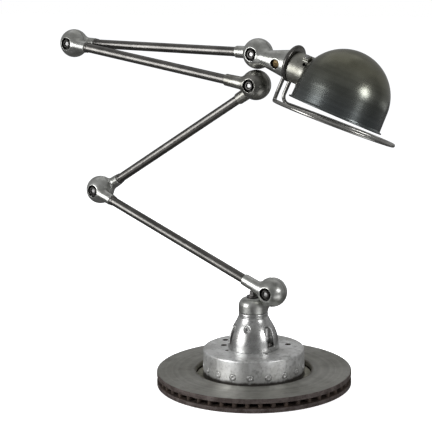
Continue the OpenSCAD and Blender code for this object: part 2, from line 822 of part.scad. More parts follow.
// rod guard: a ring under the rim, straight ends bent up to two legs, and a round-edged collar
module guard() color(steel)
  on_reflector() rotate([guard_turn, 0, 0]) {
    leg_x = rail_x + rod_d / 2;
    ring_x = guard_d / 2 + guard_back;
    heel_z = rim_z - guard_drop;
    // the straight ends leave the ring on tangents that meet the legs
    gap_a = atan2(leg_gap / 2, ring_x) + acos(guard_d / 2 / norm([ring_x, leg_gap / 2]));
    tip_z = collar_rise - sqrt(pow(collar_d / 2 - rod_d / 2, 2) - pow(leg_gap / 2, 2));
    leg_up = leg_bend - over;
    translate([rail_x, 0, 0]) rotate([0, 90, 0]) difference() {
      translate([-collar_rise, 0, 0]) rotate_extrude() {
        square([collar_d / 2 - collar_h / 2, collar_h]);
        translate([collar_d / 2 - collar_h / 2, collar_h / 2]) circle(d = collar_h);
      }
      translate([0, 0, -over]) cylinder(d = spigot_d, h = collar_h + 2 * over);
    }
    // the ring, its ends and their bends rise together towards the front
    translate([leg_x, 0, heel_z]) rotate([0, -guard_tilt, 0]) {
      translate([ring_x, 0, 0]) rotate([0, 0, gap_a - 180])
        rotate_extrude(angle = 360 - 2 * gap_a, $fn = 144)
          translate([guard_d / 2, 0]) circle(d = rod_d, $fn = 48);
      for (s = [-1, 1]) {
        way = [-sin(gap_a), -s * cos(gap_a), 0];
        heel = [0, s * leg_gap / 2, 0];
        straight([ring_x, 0, 0] + guard_d / 2 * [-cos(gap_a), s * sin(gap_a), 0] - over * way,
          heel - leg_up * way);
        translate(heel - leg_bend * way + [0, 0, leg_bend]) rotate([90, 90, atan2(way[1], way[0])])
          rotate_extrude(angle = 90) translate([leg_bend, 0]) circle(d = rod_d, $fn = 48);
      }
    }
    for (s = [-1, 1])
      straight([leg_x - leg_up * sin(guard_tilt), s * leg_gap / 2, heel_z + leg_up * cos(guard_tilt)],
        [leg_x, s * leg_gap / 2, tip_z]);
  }

// straight length of the guard between two points, with its ends inside the bends
module straight(a, b) {
  v = b - a;
  translate(a) rotate([0, acos(v[2] / norm(v)), atan2(v[1], v[0])])
    cylinder(d = rod_d - rod_draw, h = norm(v), $fn = 48);
}

// screw cap of the bulb
module bulb_cap() color(brass)
  on_reflector() bar_x(cap_d, cap_x - cap_h, cap_x);

// outline of the bulb, drawn in by t all over
module bulb_outline(t) {
  r = bulb_d / 2 - t;
  ball_x = bulb_h - bulb_d / 2;
  intersection() {
    translate([0, ball_x]) circle(r = r);
    square([bulb_d, bulb_h]);
  }
  polygon([
    [0, 0],
    [cap_d / 2 - t, 0],
    [r * cos(neck_turn), ball_x - r * sin(neck_turn)],
    [0, ball_x]
  ]);
}

// hollow glass of the bulb, open at its cap
module bulb_glass() color(glass)
  on_reflector() translate([cap_x, 0, 0]) rotate([0, 90, 0]) rotate_extrude()
    difference() {
      bulb_outline(0);
      bulb_outline(glass_wall);
    }

module contact_disc_1() color(black) contact_disc(1);
module contact_disc_2() color(black) contact_disc(2);
module contact_disc_3() color(black) contact_disc(3);
module contact_disc_4() color(black) contact_disc(4);
module contact_disc_5() color(black) contact_disc(5);
module contact_rings_1() color(copper) contact_rings(1);
module contact_rings_2() color(copper) contact_rings(2);
module contact_rings_3() color(copper) contact_rings(3);
module contact_rings_4() color(copper) contact_rings(4);
module contact_rings_5() color(copper) contact_rings(5);
module pivot_bolt_1() color(steel) pivot_bolt(1);
module pivot_bolt_2() color(steel) pivot_bolt(2);
module pivot_bolt_3() color(steel) pivot_bolt(3);
module pivot_bolt_4() color(steel) pivot_bolt(4);
module pivot_bolt_5() color(steel) pivot_bolt(5);
module pivot_nut_1() color(aluminium) pivot_nut(1);
module pivot_nut_2() color(aluminium) pivot_nut(2);
module pivot_nut_3() color(aluminium) pivot_nut(3);
module pivot_nut_4() color(aluminium) pivot_nut(4);
module pivot_nut_5() color(aluminium) pivot_nut(5);
module brush_disc_1() color(black) brush_disc(1);
module brush_disc_2() color(black) brush_disc(2);
module brush_disc_3() color(black) brush_disc(3);
module brush_disc_4() color(black) brush_disc(4);
module brush_disc_5() color(black) brush_disc(5);
module arm_1_lower() color(aluminium) arm_lower(1);
module arm_2_lower() color(aluminium) arm_lower(2);
module arm_3_lower() color(aluminium) arm_lower(3);
module arm_4_lower() color(aluminium) arm_lower(4);
module arm_1_tube() color(steel) arm_tube(1);
module arm_2_tube() color(steel) arm_tube(2);
module arm_3_tube() color(steel) arm_tube(3);
module arm_4_tube() color(steel) arm_tube(4);
module arm_1_upper() color(aluminium) arm_upper(1);
module arm_2_upper() color(aluminium) arm_upper(2);
module arm_3_upper() color(aluminium) arm_upper(3);
module arm_4_upper() color(aluminium) arm_upper(4);

friction_ring();
disc_hat();
hat_pins();
cable_grommet();
foot();
foot_bolts();
set_screw();
swivel_bolt();
swivel_nut();
swivel_dome();
contact_disc_1();
contact_rings_1();
pivot_bolt_1();
pivot_nut_1();
brush_disc_1();
arm_1_lower();
arm_1_tube();
arm_1_upper();
contact_disc_2();
contact_rings_2();
pivot_bolt_2();
pivot_nut_2();
brush_disc_2();
arm_2_lower();
arm_2_tube();
arm_2_upper();
contact_disc_3();
contact_rings_3();
pivot_bolt_3();
pivot_nut_3();
brush_disc_3();
arm_3_lower();
arm_3_tube();
arm_3_upper();
contact_disc_4();
contact_rings_4();
pivot_bolt_4();
pivot_nut_4();
brush_disc_4();
arm_4_lower();
arm_4_tube();
arm_4_upper();
contact_disc_5();
contact_rings_5();
pivot_bolt_5();
pivot_nut_5();
brush_disc_5();
head_bracket();
retaining_screw();
guard();
holder_cover();
clamp_screws();
lampholder();
holder_shell();
clamp_ring();
shade();
bulb_cap();
bulb_glass();
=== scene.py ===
import math

import bpy
import numpy as np
from mathutils import Matrix, Vector


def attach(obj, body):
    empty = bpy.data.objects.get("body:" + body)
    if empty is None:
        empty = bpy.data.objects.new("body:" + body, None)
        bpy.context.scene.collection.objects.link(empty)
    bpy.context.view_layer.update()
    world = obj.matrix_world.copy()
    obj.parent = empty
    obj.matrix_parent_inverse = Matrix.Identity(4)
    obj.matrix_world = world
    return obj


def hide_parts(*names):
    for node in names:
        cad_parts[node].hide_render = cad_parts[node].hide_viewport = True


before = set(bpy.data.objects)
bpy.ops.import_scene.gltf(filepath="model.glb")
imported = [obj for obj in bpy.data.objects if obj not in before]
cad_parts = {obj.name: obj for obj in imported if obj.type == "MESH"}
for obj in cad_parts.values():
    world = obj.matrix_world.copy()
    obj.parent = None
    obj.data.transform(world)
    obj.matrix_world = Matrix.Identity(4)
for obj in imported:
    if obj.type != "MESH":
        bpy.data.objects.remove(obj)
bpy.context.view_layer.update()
scene = bpy.context.scene
scene.view_settings.view_transform = "Standard"

# Camera.
# It stands to the front right of the lamp, a little above the disc, with a long lens.
eye = Vector((1.27466, -1.78685, 0.69752))
right = Vector((0.8150, 0.5792, -0.0143)).normalized()
rough_up = Vector((-0.0959, 0.1593, 0.9826))
back = right.cross(rough_up).normalized()
up = back.cross(right)
frame_pixels, focal_pixels, film_width = 432, 1300, 36
camera = bpy.data.objects.new("camera", bpy.data.cameras.new("camera"))
camera.data.sensor_width = film_width
camera.data.lens = film_width * focal_pixels / frame_pixels
camera.matrix_world = Matrix(
    [[right[i], up[i], back[i], eye[i]] for i in range(3)] + [[0, 0, 0, 1]]
)
scene.collection.objects.link(camera)
scene.camera = camera

# Studio.
# A white sweep of floor and air, and soft boxes at both sides, overhead and behind. Grey cards and a
# few small bright ones, which show only in reflections, give the bare metal something to mirror.
room_air, white_air = (0.52, 0.53, 0.55, 1), (1, 1, 1, 1)
floor_grey, floor_glow = (0.82, 0.82, 0.82, 1), 0.62
lamp_target = Vector((0.1, 0, 0.4))


def feed(tree, value, socket):
    """Gives a socket a plain value, or links another socket to it."""
    if isinstance(value, bpy.types.NodeSocket):
        tree.links.new(value, socket)
    elif value is not None:
        socket.default_value = value


def math_node(tree, operation, a, b=None, clamp=False):
    """One math node; a and b are sockets or numbers."""
    node = tree.nodes.new("ShaderNodeMath")
    node.operation = operation
    node.use_clamp = clamp
    feed(tree, a, node.inputs[0])
    feed(tree, b, node.inputs[1])
    return node.outputs[0]


def tint(tree, factor, a, b, blend="MIX"):
    """Two colours mixed by a factor; each is a socket or a plain value."""
    node = tree.nodes.new("ShaderNodeMix")
    node.data_type = "RGBA"
    node.blend_type = blend
    for label, value in (("Factor", factor), ("A", a), ("B", b)):
        feed(tree, value, node.inputs[label])
    return node.outputs["Result"]


def emptied(owner):
    """The node tree of a world or material, with nothing in it."""
    owner.use_nodes = True
    owner.node_tree.nodes.clear()
    return owner.node_tree


def seen_by(tree, *kinds):
    """1 for rays of these kinds, 0 for all others."""
    rays = tree.nodes.new("ShaderNodeLightPath").outputs
    seen = rays[kinds[0]]
    for kind in kinds[1:]:
        seen = math_node(tree, "MAXIMUM", seen, rays[kind])
    return seen


def card(name, size, place, aim):
    """A flat card of this size that faces aim."""
    w, h = size[0] / 2, size[1] / 2
    mesh = bpy.data.meshes.new(name)
    mesh.from_pydata([(-w, -h, 0), (w, -h, 0), (w, h, 0), (-w, h, 0)], [], [(0, 1, 2, 3)])
    obj = bpy.data.objects.new(name, mesh)
    obj.location = place
    obj.rotation_euler = (Vector(aim) - Vector(place)).to_track_quat("Z", "Y").to_euler()
    scene.collection.objects.link(obj)
    return obj


scene.world = bpy.data.worlds.new("studio_air")
sky = emptied(scene.world)
air = sky.nodes.new("ShaderNodeBackground")
in_view = seen_by(sky, "Is Camera Ray", "Is Glossy Ray", "Is Transmission Ray")
sky.links.new(tint(sky, in_view, room_air, white_air), air.inputs["Color"])
sky_out = sky.nodes.new("ShaderNodeOutputWorld")
sky.links.new(air.outputs[0], sky_out.inputs["Surface"])

floor = card("floor", (30, 30), (0, 0, 0), (0, 0, 1))
floor_paint = bpy.data.materials.new("floor_paint")
paint = emptied(floor_paint)
matte = paint.nodes.new("ShaderNodeBsdfDiffuse")
matte.inputs["Color"].default_value = floor_grey
whitened = paint.nodes.new("ShaderNodeEmission")
on_floor = seen_by(paint, "Is Camera Ray", "Is Glossy Ray")
paint.links.new(math_node(paint, "MULTIPLY", on_floor, floor_glow), whitened.inputs["Strength"])
both = paint.nodes.new("ShaderNodeAddShader")
paint.links.new(matte.outputs[0], both.inputs[0])
paint.links.new(whitened.outputs[0], both.inputs[1])
floor_out = paint.nodes.new("ShaderNodeOutputMaterial")
paint.links.new(both.outputs[0], floor_out.inputs["Surface"])
floor.data.materials.append(floor_paint)

# name, size, place, what it faces and how bright it looks in the metal
for name, size, place, aim, level in (
    ("card_front", (7, 4), (0, -3.2, 1.6), (0, 0, 1.6), 0.17),
    ("card_top", (7, 7), (0, 0, 3.0), (0, 0, 0), 0.36),
    ("card_glow", (2.6, 2.2), (-0.8, 1.2, 2.95), (-0.8, 1.2, 0), 0.62),
    ("card_back", (7, 4), (0, 3.2, 1.6), (0, 0, 1.6), 0.34),
    ("card_left", (7, 4), (-3.2, 0, 1.6), (0, 0, 1.6), 0.30),
    ("card_right", (7, 4), (3.2, 0, 1.6), (0, 0, 1.6), 0.20),
    ("card_low", (7, 7), (0, 0, 0.001), (0, 0, 1), 0.12),
    ("card_pool", (0.9, 0.7), (2.35, -0.8, 0.002), (2.35, -0.8, 1), 2.2),
    ("card_far_pool", (1.6, 1.0), (1.5, 1.9, 0.002), (1.5, 1.9, 1), 0.9),
    ("card_near_pool", (0.5, 0.3), (0.56, -0.1, 0.002), (0.56, -0.1, 1), 1.3),
    ("card_left_pool", (0.5, 0.5), (-0.12, -0.55, 0.002), (-0.12, -0.55, 1), 0.7),
):
    mirrored_card = card(name, size, place, aim)
    card_paint = bpy.data.materials.new(name)
    face_tree = emptied(card_paint)
    shine = face_tree.nodes.new("ShaderNodeEmission")
    shine.inputs["Color"].default_value = (level, level, level, 1)
    face_out = face_tree.nodes.new("ShaderNodeOutputMaterial")
    face_tree.links.new(shine.outputs[0], face_out.inputs["Surface"])
    mirrored_card.data.materials.append(card_paint)
    mirrored_card.visible_camera = False
    mirrored_card.visible_diffuse = False
    mirrored_card.visible_shadow = False
    mirrored_card.visible_transmission = False

# name, size, place, watts and whether the metal mirrors it
for name, size, place, power, mirrored in (
    ("box_right", (0.5, 0.55), (2.0, -0.2, 0.85), 8, True),
    ("box_left", (1.0, 1.1), (-0.75, -1.50, 0.62), 19, True),
    ("box_top", (1.6, 1.2), (-0.1, 0.3, 1.9), 26, False),
    ("box_back", (1.4, 0.8), (-0.3, 1.9, 1.1), 12, False),
):
    light = bpy.data.lights.new(name, "AREA")
    light.shape = "RECTANGLE"
    light.size, light.size_y = size
    light.energy = power
    soft_box = bpy.data.objects.new(name, light)
    soft_box.location = place
    soft_box.rotation_euler = (lamp_target - Vector(place)).to_track_quat("-Z", "Y").to_euler()
    scene.collection.objects.link(soft_box)
    soft_box.visible_glossy = mirrored

# Friction ring of the brake disc.
# Grey cast iron: two turned plates joined by radial cooling vanes. The faces keep the fine rings of
# the lathe, while the vents between the plates and the rim have gone rusty brown. Inside the vents the
# rust is made near black, as painted shade.
MM = 0.001
FLOAT, COLOR, VECTOR = "NodeSocketFloat", "NodeSocketColor", "NodeSocketVector"
base_x = 73.0
disc_r, hole_r, disc_h, plate_h = 167.0, 99.5, 24.0, 8.0
outer_edge, vent_edge, plate_start, disc_facets = 1.2, 0.8, 130.0, 192
vane_count, vane_w, vane_back, vane_round, vane_sink, vane_start = 48, 7.0, 3.0, 3.0, 0.5, 20.0
smooth_angle = 40


def shift(x, y, z):
    """A placing that moves by these millimetres."""
    return Matrix.Translation((x, y, z))


def spin(degrees, axis):
    """A placing that turns about an axis."""
    return Matrix.Rotation(math.radians(degrees), 4, axis)


def rounded(corners, steps=4):
    """An open profile: its ends are (r, z), and each corner between is (r, z, radius)."""
    out = [corners[0]]
    for before, corner, after in zip(corners, corners[1:], corners[2:]):
        a, b, c = (np.array(p[:2], float) for p in (before, corner, after))
        if corner[2] <= 0:
            out.append(tuple(b))
            continue
        u, v = (a - b) / np.linalg.norm(a - b), (c - b) / np.linalg.norm(c - b)
        half = math.acos(max(-1, min(1, float(u @ v)))) / 2
        # an arc takes less than half of the shorter side
        room = 0.49 * min(np.linalg.norm(a - b), np.linalg.norm(c - b))
        trim = min(corner[2] / math.tan(half), room)
        radius = trim * math.tan(half)
        mid = b + (u + v) / np.linalg.norm(u + v) * radius / math.sin(half)
        p, q = b + u * trim - mid, b + v * trim - mid
        sweep = math.atan2(p[0] * q[1] - p[1] * q[0], p @ q)
        for w in (sweep * k / steps for k in range(steps + 1)):
            x = p[0] * math.cos(w) - p[1] * math.sin(w)
            y = p[0] * math.sin(w) + p[1] * math.cos(w)
            out.append((mid[0] + x, mid[1] + y))
    return out + [corners[-1]]


def closed_profile(start, corners, steps=4):
    """A rounded profile that runs from its start through the corners and back."""
    return rounded([start] + corners + [start], steps)[:-1]


def turned(profile, count=96, closed=False):
    """Points and faces of a profile of (radius, height) turned about z."""
    points, rows, faces = [], [], []
    for r, z in profile:
        if r < 1e-6:
            rows.append([len(points)] * count)
            points.append((0, 0, z))
        else:
            rows.append(list(range(len(points), len(points) + count)))
            for k in range(count):
                w = 2 * math.pi * k / count
                points.append((r * math.cos(w), r * math.sin(w), z))
    pairs = list(zip(rows, rows[1:])) + ([(rows[-1], rows[0])] if closed else [])
    for low, high in pairs:
        for k in range(count):
            n = (k + 1) % count
            quad = [low[k], low[n], high[n], high[k]]
            face = [v for j, v in enumerate(quad) if v not in quad[:j]]
            if len(face) > 2:
                faces.append(face)
    return np.array(points, float), faces


def joined(*forms):
    """Several forms of points and faces as one."""
    points, faces, start = [], [], 0
    for p, f in forms:
        points.append(np.asarray(p, float))
        faces += [[v + start for v in face] for face in f]
        start += len(p)
    return np.concatenate(points), faces


def moved(form, place):
    """A form carried by a 4x4 placing in millimetres."""
    m = np.array(place)
    return form[0] @ m[:3, :3].T + m[:3, 3], form[1]


def piece(name, form, material, body, place):
    """A shown piece made from a form in millimetres; it stands for the CAD node of its name.

    The points are turned as the placing says, so the object is only shifted and its box is tight.
    """
    points = np.asarray(form[0], float) @ np.array(place)[:3, :3].T
    mesh = bpy.data.meshes.new(name)
    mesh.from_pydata((points * MM).tolist(), [], [list(map(int, f)) for f in form[1]])
    mesh.update()
    mesh.materials.append(material)
    mesh.shade_smooth()
    mesh.set_sharp_from_angle(angle=math.radians(smooth_angle))
    obj = bpy.data.objects.new(name, mesh)
    scene.collection.objects.link(obj)
    obj.matrix_world = Matrix.Translation(place.translation * MM)
    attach(obj, body)
    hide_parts(name)
    return obj


def new_group(name, inputs, outputs):
    """An empty shader node group with named sockets."""
    group = bpy.data.node_groups.new(name, "ShaderNodeTree")
    for label, kind, value in inputs:
        socket = group.interface.new_socket(label, in_out="INPUT", socket_type=kind)
        socket.default_value = value
    for label, kind in outputs:
        group.interface.new_socket(label, in_out="OUTPUT", socket_type=kind)
    given, made = group.nodes.new("NodeGroupInput"), group.nodes.new("NodeGroupOutput")
    return group, given.outputs, made.inputs


def ramp(tree, value, low, high, to_low=0.0, to_high=1.0):
    """A value stretched from one range to another and held at its ends."""
    node = tree.nodes.new("ShaderNodeMapRange")
    labels = ("Value", "From Min", "From Max", "To Min", "To Max")
    for label, v in zip(labels, (value, low, high, to_low, to_high)):
        feed(tree, v, node.inputs[label])
    return node.outputs["Result"]


def cloud(tree, vector, scale, detail=4.0, shift_by=None):
    """A noise texture's value at a scale per metre."""
    node = tree.nodes.new("ShaderNodeTexNoise")
    node.noise_dimensions = "4D"
    labels = ("Vector", "Scale", "Detail", "Roughness", "W")
    for label, v in zip(labels, (vector, scale, detail, 0.6, shift_by)):
        feed(tree, v, node.inputs[label])
    return node.outputs["Fac"]


def on_piece(tree):
    """The place on a piece, in its own frame."""
    return tree.nodes.new("ShaderNodeTexCoord").outputs["Object"]


def height_of(tree, place):
    """The z of a place."""
    split = tree.nodes.new("ShaderNodeSeparateXYZ")
    tree.links.new(place, split.inputs[0])
    return split.outputs["Z"]


def across_axis(tree, place):
    """A place flattened on the plane across z, and its distance from the axis."""
    flat = tree.nodes.new("ShaderNodeVectorMath")
    flat.operation = "MULTIPLY"
    flat.inputs[1].default_value = (1, 1, 0)
    tree.links.new(place, flat.inputs[0])
    distance = tree.nodes.new("ShaderNodeVectorMath")
    distance.operation = "LENGTH"
    tree.links.new(flat.outputs["Vector"], distance.inputs[0])
    return flat.outputs["Vector"], distance.outputs["Value"]


def make_old_metal():
    """Group of old bare metal: cloudy tarnish, dirt in the hollows, rubbed edges and fine pits."""
    tree, given, made = new_group(
        "old_metal",
        [
            ("Clean", COLOR, (0.6, 0.6, 0.6, 1)),
            ("Tarnish", COLOR, (0.4, 0.4, 0.4, 1)),
            ("Dirt", COLOR, (0.05, 0.045, 0.04, 1)),
            ("Scale", FLOAT, 30.0),
            ("Smooth", FLOAT, 0.25),
            ("Rough", FLOAT, 0.45),
            ("Hollow Dirt", FLOAT, 0.8),
            ("Edge Wear", FLOAT, 0.4),
            ("Smudge", FLOAT, 0.4),
        ],
        [("Color", COLOR), ("Roughness", FLOAT), ("Height", FLOAT)],
    )

    def times(a, b):
        return math_node(tree, "MULTIPLY", a, b)

    place = on_piece(tree)
    own = times(tree.nodes.new("ShaderNodeObjectInfo").outputs["Random"], 40.0)
    wide = cloud(tree, place, given["Scale"], 5.0, own)
    middle = cloud(tree, place, times(given["Scale"], 5.0), 5.0, own)
    fine = cloud(tree, place, times(given["Scale"], 40.0), 3.0, own)
    bend = tree.nodes.new("ShaderNodeNewGeometry").outputs["Pointiness"]
    worn_edge = times(ramp(tree, bend, 0.53, 0.62), given["Edge Wear"])
    settled = times(ramp(tree, bend, 0.40, 0.475, 1.0, 0.0), given["Hollow Dirt"])
    tone = tint(tree, ramp(tree, wide, 0.38, 0.62), given["Tarnish"], given["Clean"])
    tone = tint(tree, times(ramp(tree, middle, 0.50, 0.72), given["Smudge"]), tone, given["Dirt"])
    tone = tint(tree, times(ramp(tree, fine, 0.62, 0.72), given["Smudge"]), tone, given["Dirt"])
    tone = tint(tree, worn_edge, tone, given["Clean"])
    tree.links.new(tint(tree, settled, tone, given["Dirt"]), made["Color"])
    satin = ramp(tree, middle, 0.3, 0.7, given["Smooth"], given["Rough"])
    satin = math_node(tree, "ADD", satin, times(settled, 0.3), True)
    tree.links.new(satin, made["Roughness"])
    tree.links.new(math_node(tree, "ADD", times(fine, 0.5), times(middle, 0.5)), made["Height"])
    return tree


def make_lathe_lines():
    """Group of lathe rings: fine lines that run round the z axis of the piece."""
    inputs = [("Place", VECTOR, (0, 0, 0)), ("Fineness", FLOAT, 900.0)]
    tree, given, made = new_group("lathe_lines", inputs, [("Line", FLOAT)])
    _, distance = across_axis(tree, given["Place"])
    along = math_node(tree, "ADD", distance, height_of(tree, given["Place"]))
    groove = tree.nodes.new("ShaderNodeTexNoise")
    groove.noise_dimensions = "1D"
    groove.inputs["Detail"].default_value = 4.0
    groove.inputs["Scale"].default_value = 1.0
    tree.links.new(math_node(tree, "MULTIPLY", along, given["Fineness"]), groove.inputs["W"])
    tree.links.new(groove.outputs["Fac"], made["Line"])
    return tree


old_metal, lathe_lines = make_old_metal(), make_lathe_lines()


def with_group(name, group, label, values):
    """A new material with a group in it, which gives the shader its colour and roughness."""
    material = bpy.data.materials.new(name)
    material.use_nodes = True
    tree = material.node_tree
    node = tree.nodes.new("ShaderNodeGroup")
    node.name = label
    node.node_tree = group
    for socket, value in values.items():
        node.inputs[socket].default_value = value
    shader = tree.nodes["Principled BSDF"]
    tree.links.new(node.outputs["Color"], shader.inputs["Base Color"])
    tree.links.new(node.outputs["Roughness"], shader.inputs["Roughness"])
    return material


def add_relief(material, height, strength, distance):
    """Turns a height into bump on a material."""
    tree = material.node_tree
    bump = tree.nodes.new("ShaderNodeBump")
    bump.name = "relief"
    bump.inputs["Strength"].default_value = strength
    bump.inputs["Distance"].default_value = distance
    tree.links.new(height, bump.inputs["Height"])
    tree.links.new(bump.outputs["Normal"], tree.nodes["Principled BSDF"].inputs["Normal"])


def metal(
    name, clean, tarnish, dirt, scale, smooth, rough, hollow_dirt, edge_wear, smudge, relief, bright=1.0
):
    """A bare metal material on the old_metal group."""
    values = {
        "Clean": clean + (1,),
        "Tarnish": tarnish + (1,),
        "Dirt": dirt + (1,),
        "Scale": scale,
        "Smooth": smooth,
        "Rough": rough,
        "Hollow Dirt": hollow_dirt,
        "Edge Wear": edge_wear,
        "Smudge": smudge,
    }
    material = with_group(name, old_metal, "age", values)
    tree = material.node_tree
    tree.nodes["Principled BSDF"].inputs["Metallic"].default_value = bright
    add_relief(material, tree.nodes["age"].outputs["Height"], relief, 0.1 * MM)
    return material


def nodes_of(material):
    """Tree, shader and ageing of a material made by metal()."""
    tree = material.node_tree
    return tree, tree.nodes["Principled BSDF"], tree.nodes["age"]


def lathe_line(tree, place, fineness):
    """Value of the lathe rings at a place in the piece's own frame."""
    lines = tree.nodes.new("ShaderNodeGroup")
    lines.node_tree = lathe_lines
    lines.inputs["Fineness"].default_value = fineness
    tree.links.new(place, lines.inputs["Place"])
    return lines.outputs["Line"]


def add_lathe_lines(material, place, fineness, depth, change):
    """Turns lathe rings into bump and roughness on a material made by metal()."""
    tree, shader, age = nodes_of(material)
    line = lathe_line(tree, place, fineness)
    height = math_node(tree, "ADD", age.outputs["Height"], math_node(tree, "MULTIPLY", line, depth))
    tree.links.new(height, tree.nodes["relief"].inputs["Height"])
    uneven = ramp(tree, line, 0.3, 0.7, -change, change)
    satin = math_node(tree, "ADD", age.outputs["Roughness"], uneven, True)
    tree.links.new(satin, shader.inputs["Roughness"])


def brown_the_faces(material, place):
    """Turns the ring's faces brown towards the hole and dark at the rim, in frayed edges."""
    hole_brown, rim_dark = (0.055, 0.040, 0.028, 1), (0.09, 0.08, 0.065, 1)
    tree, shader, age = nodes_of(material)
    flat, distance = across_axis(tree, place)
    frayed = math_node(tree, "MULTIPLY", cloud(tree, flat, 45, 5.0), 8 * MM)
    from_hole = math_node(tree, "SUBTRACT", distance, frayed)
    stain = ramp(tree, from_hole, (hole_r - 3) * MM, (hole_r + 1) * MM, 0.7, 0.0)
    from_rim = math_node(tree, "ADD", distance, frayed)
    worn = ramp(tree, from_rim, (disc_r + 1) * MM, (disc_r + 5) * MM, 0.0, 0.6)
    bands = ramp(tree, lathe_line(tree, place, 110), 0.32, 0.68, 0.85, 1.06)
    tone = tint(tree, stain, age.outputs["Color"], hole_brown)
    tone = tint(tree, 1.0, tone, bands, "MULTIPLY")
    tree.links.new(tint(tree, worn, tone, rim_dark), shader.inputs["Base Color"])


iron = metal(
    "turned_iron",
    clean=(0.45, 0.445, 0.415), tarnish=(0.33, 0.326, 0.296), dirt=(0.08, 0.068, 0.055),
    scale=12, smooth=0.42, rough=0.58, hollow_dirt=0.5, edge_wear=0.3, smudge=0.25, relief=0.3,
)
groove_iron = metal(
    "groove_iron",
    clean=(0.30, 0.292, 0.24), tarnish=(0.16, 0.154, 0.125), dirt=(0.03, 0.026, 0.02),
    scale=60, smooth=0.6, rough=0.8, hollow_dirt=0.6, edge_wear=0.5, smudge=0.4, relief=0.6, bright=0.5,
)
rim_iron = metal(
    "rim_iron",
    clean=(0.14, 0.116, 0.108), tarnish=(0.065, 0.049, 0.044), dirt=(0.02, 0.014, 0.012),
    scale=70, smooth=0.55, rough=0.8, hollow_dirt=0.6, edge_wear=0.5, smudge=0.6, relief=0.8, bright=0.6,
)
# Near black rust for the vents and the stud holes: rust, and painted shade deep inside them.
rust_and_shade = metal(
    "rusty_vents_in_shade",
    clean=(0.066, 0.045, 0.034), tarnish=(0.030, 0.020, 0.016), dirt=(0.010, 0.008, 0.007),
    scale=60, smooth=0.7, rough=0.9, hollow_dirt=0.6, edge_wear=0.5, smudge=0.5, relief=1.0, bright=0.3,
)
on_iron = on_piece(iron.node_tree)
add_lathe_lines(iron, on_iron, fineness=1600, depth=0.8, change=0.08)
brown_the_faces(iron, on_iron)

plate_profile = closed_profile(
    (plate_start, 0),
    [
        (disc_r, 0, outer_edge),
        (disc_r, plate_h, vent_edge),
        (hole_r, plate_h, vent_edge),
        (hole_r, 0, outer_edge),
    ],
)
lower_plate = turned(plate_profile, disc_facets, True)
upper_plate = turned([(r, disc_h - z) for r, z in reversed(plate_profile)], disc_facets, True)
vane_out, vane_in = disc_r - vane_back, hole_r + vane_back
vane_line = closed_profile(
    (vane_out - vane_start, -vane_w / 2),
    [
        (vane_out, -vane_w / 2, vane_round),
        (vane_out, vane_w / 2, vane_round),
        (vane_in, vane_w / 2, vane_round),
        (vane_in, -vane_w / 2, vane_round),
    ],
    3,
)
vane_ends = (plate_h - vane_sink, disc_h - plate_h + vane_sink)
vane_turns = len(vane_line)
vane_low, vane_high = list(range(vane_turns)), list(range(vane_turns, 2 * vane_turns))
vane_faces = [vane_low[::-1], vane_high]
for i in range(vane_turns):
    after = (i + 1) % vane_turns
    vane_faces.append([vane_low[i], vane_low[after], vane_high[after], vane_high[i]])
vane = (np.array([(x, y, z) for z in vane_ends for x, y in vane_line]), vane_faces)
vanes = [moved(vane, spin(360 * k / vane_count, "Z")) for k in range(vane_count)]
on_base = shift(base_x, 0, 0)
ring_form = joined(lower_plate, upper_plate, *vanes)
ring = piece("friction_ring", ring_form, iron, "base", on_base)
for finish in (rust_and_shade, rim_iron, groove_iron):
    ring.data.materials.append(finish)
in_vent, on_rim, in_groove = 1, 2, 3
vent_margin, hole_margin, rim_margin = 0.4, 0.5, 0.6
# faces inside the vents take the near black rust, as painted shade
for face in ring.data.polygons:
    z, r = face.center.z / MM, math.hypot(face.center.x, face.center.y) / MM
    if plate_h - vent_margin < z < disc_h - plate_h + vent_margin:
        face.material_index = in_vent
    elif r < hole_r + hole_margin:
        face.material_index = in_groove
    elif r > disc_r - rim_margin:
        face.material_index = on_rim

# Hat of the brake disc.
# A sand cast aluminium pot bolted into the ring. It was blasted clean, so it is bright with grey
# mottling and black pits, and its top plate has drilled holes for studs and for the foot.
hat_r, hat_top, hat_wall, hat_plate, hat_edge, hat_start = 87.0, 62.0, 9.0, 10.0, 6.0, 40.0
flange_z, flange_h, grommet_r = 4.0, 10.0, 18.0
pin_count, pin_r, pin_z, pin_gap, pin_len, pin_out = 18, 5.25, 32.5, 0.8, 6.0, 0.4
# distance from the axis, direction and radius of each hole
stud_holes = (
    (52.6, -158.7, 5.25), (60.7, 47, 5.25), (65.8, 172.4, 5.25), (48.5, -29, 3.0), (50, -122, 3.0)
)
stud_spots = [
    (out * math.cos(math.radians(turn)), out * math.sin(math.radians(turn)), r)
    for out, turn, r in stud_holes
]
along_x = spin(90, "Y")
pin_places = [
    spin(360 * k / pin_count, "Z") @ shift(hat_r, 0, pin_z) @ along_x for k in range(pin_count)
]
cut_angle = 35


def cut(obj, form):
    """Cuts a form in millimetres, in the piece's own frame, out of a piece."""
    mesh = bpy.data.meshes.new("cutter")
    mesh.from_pydata((form[0] * MM).tolist(), [], form[1])
    cutter = bpy.data.objects.new("cutter", mesh)
    cutter.matrix_world = obj.matrix_world
    scene.collection.objects.link(cutter)
    step = obj.modifiers.new("cut", "BOOLEAN")
    step.operation, step.solver, step.object = "DIFFERENCE", "EXACT", cutter
    step.use_self = True
    bpy.context.view_layer.update()
    depsgraph = bpy.context.evaluated_depsgraph_get()
    done = bpy.data.meshes.new_from_object(obj.evaluated_get(depsgraph))
    obj.modifiers.remove(step)
    obj.data = done
    bpy.data.objects.remove(cutter)
    done.shade_smooth()
    done.set_sharp_from_angle(angle=math.radians(cut_angle))


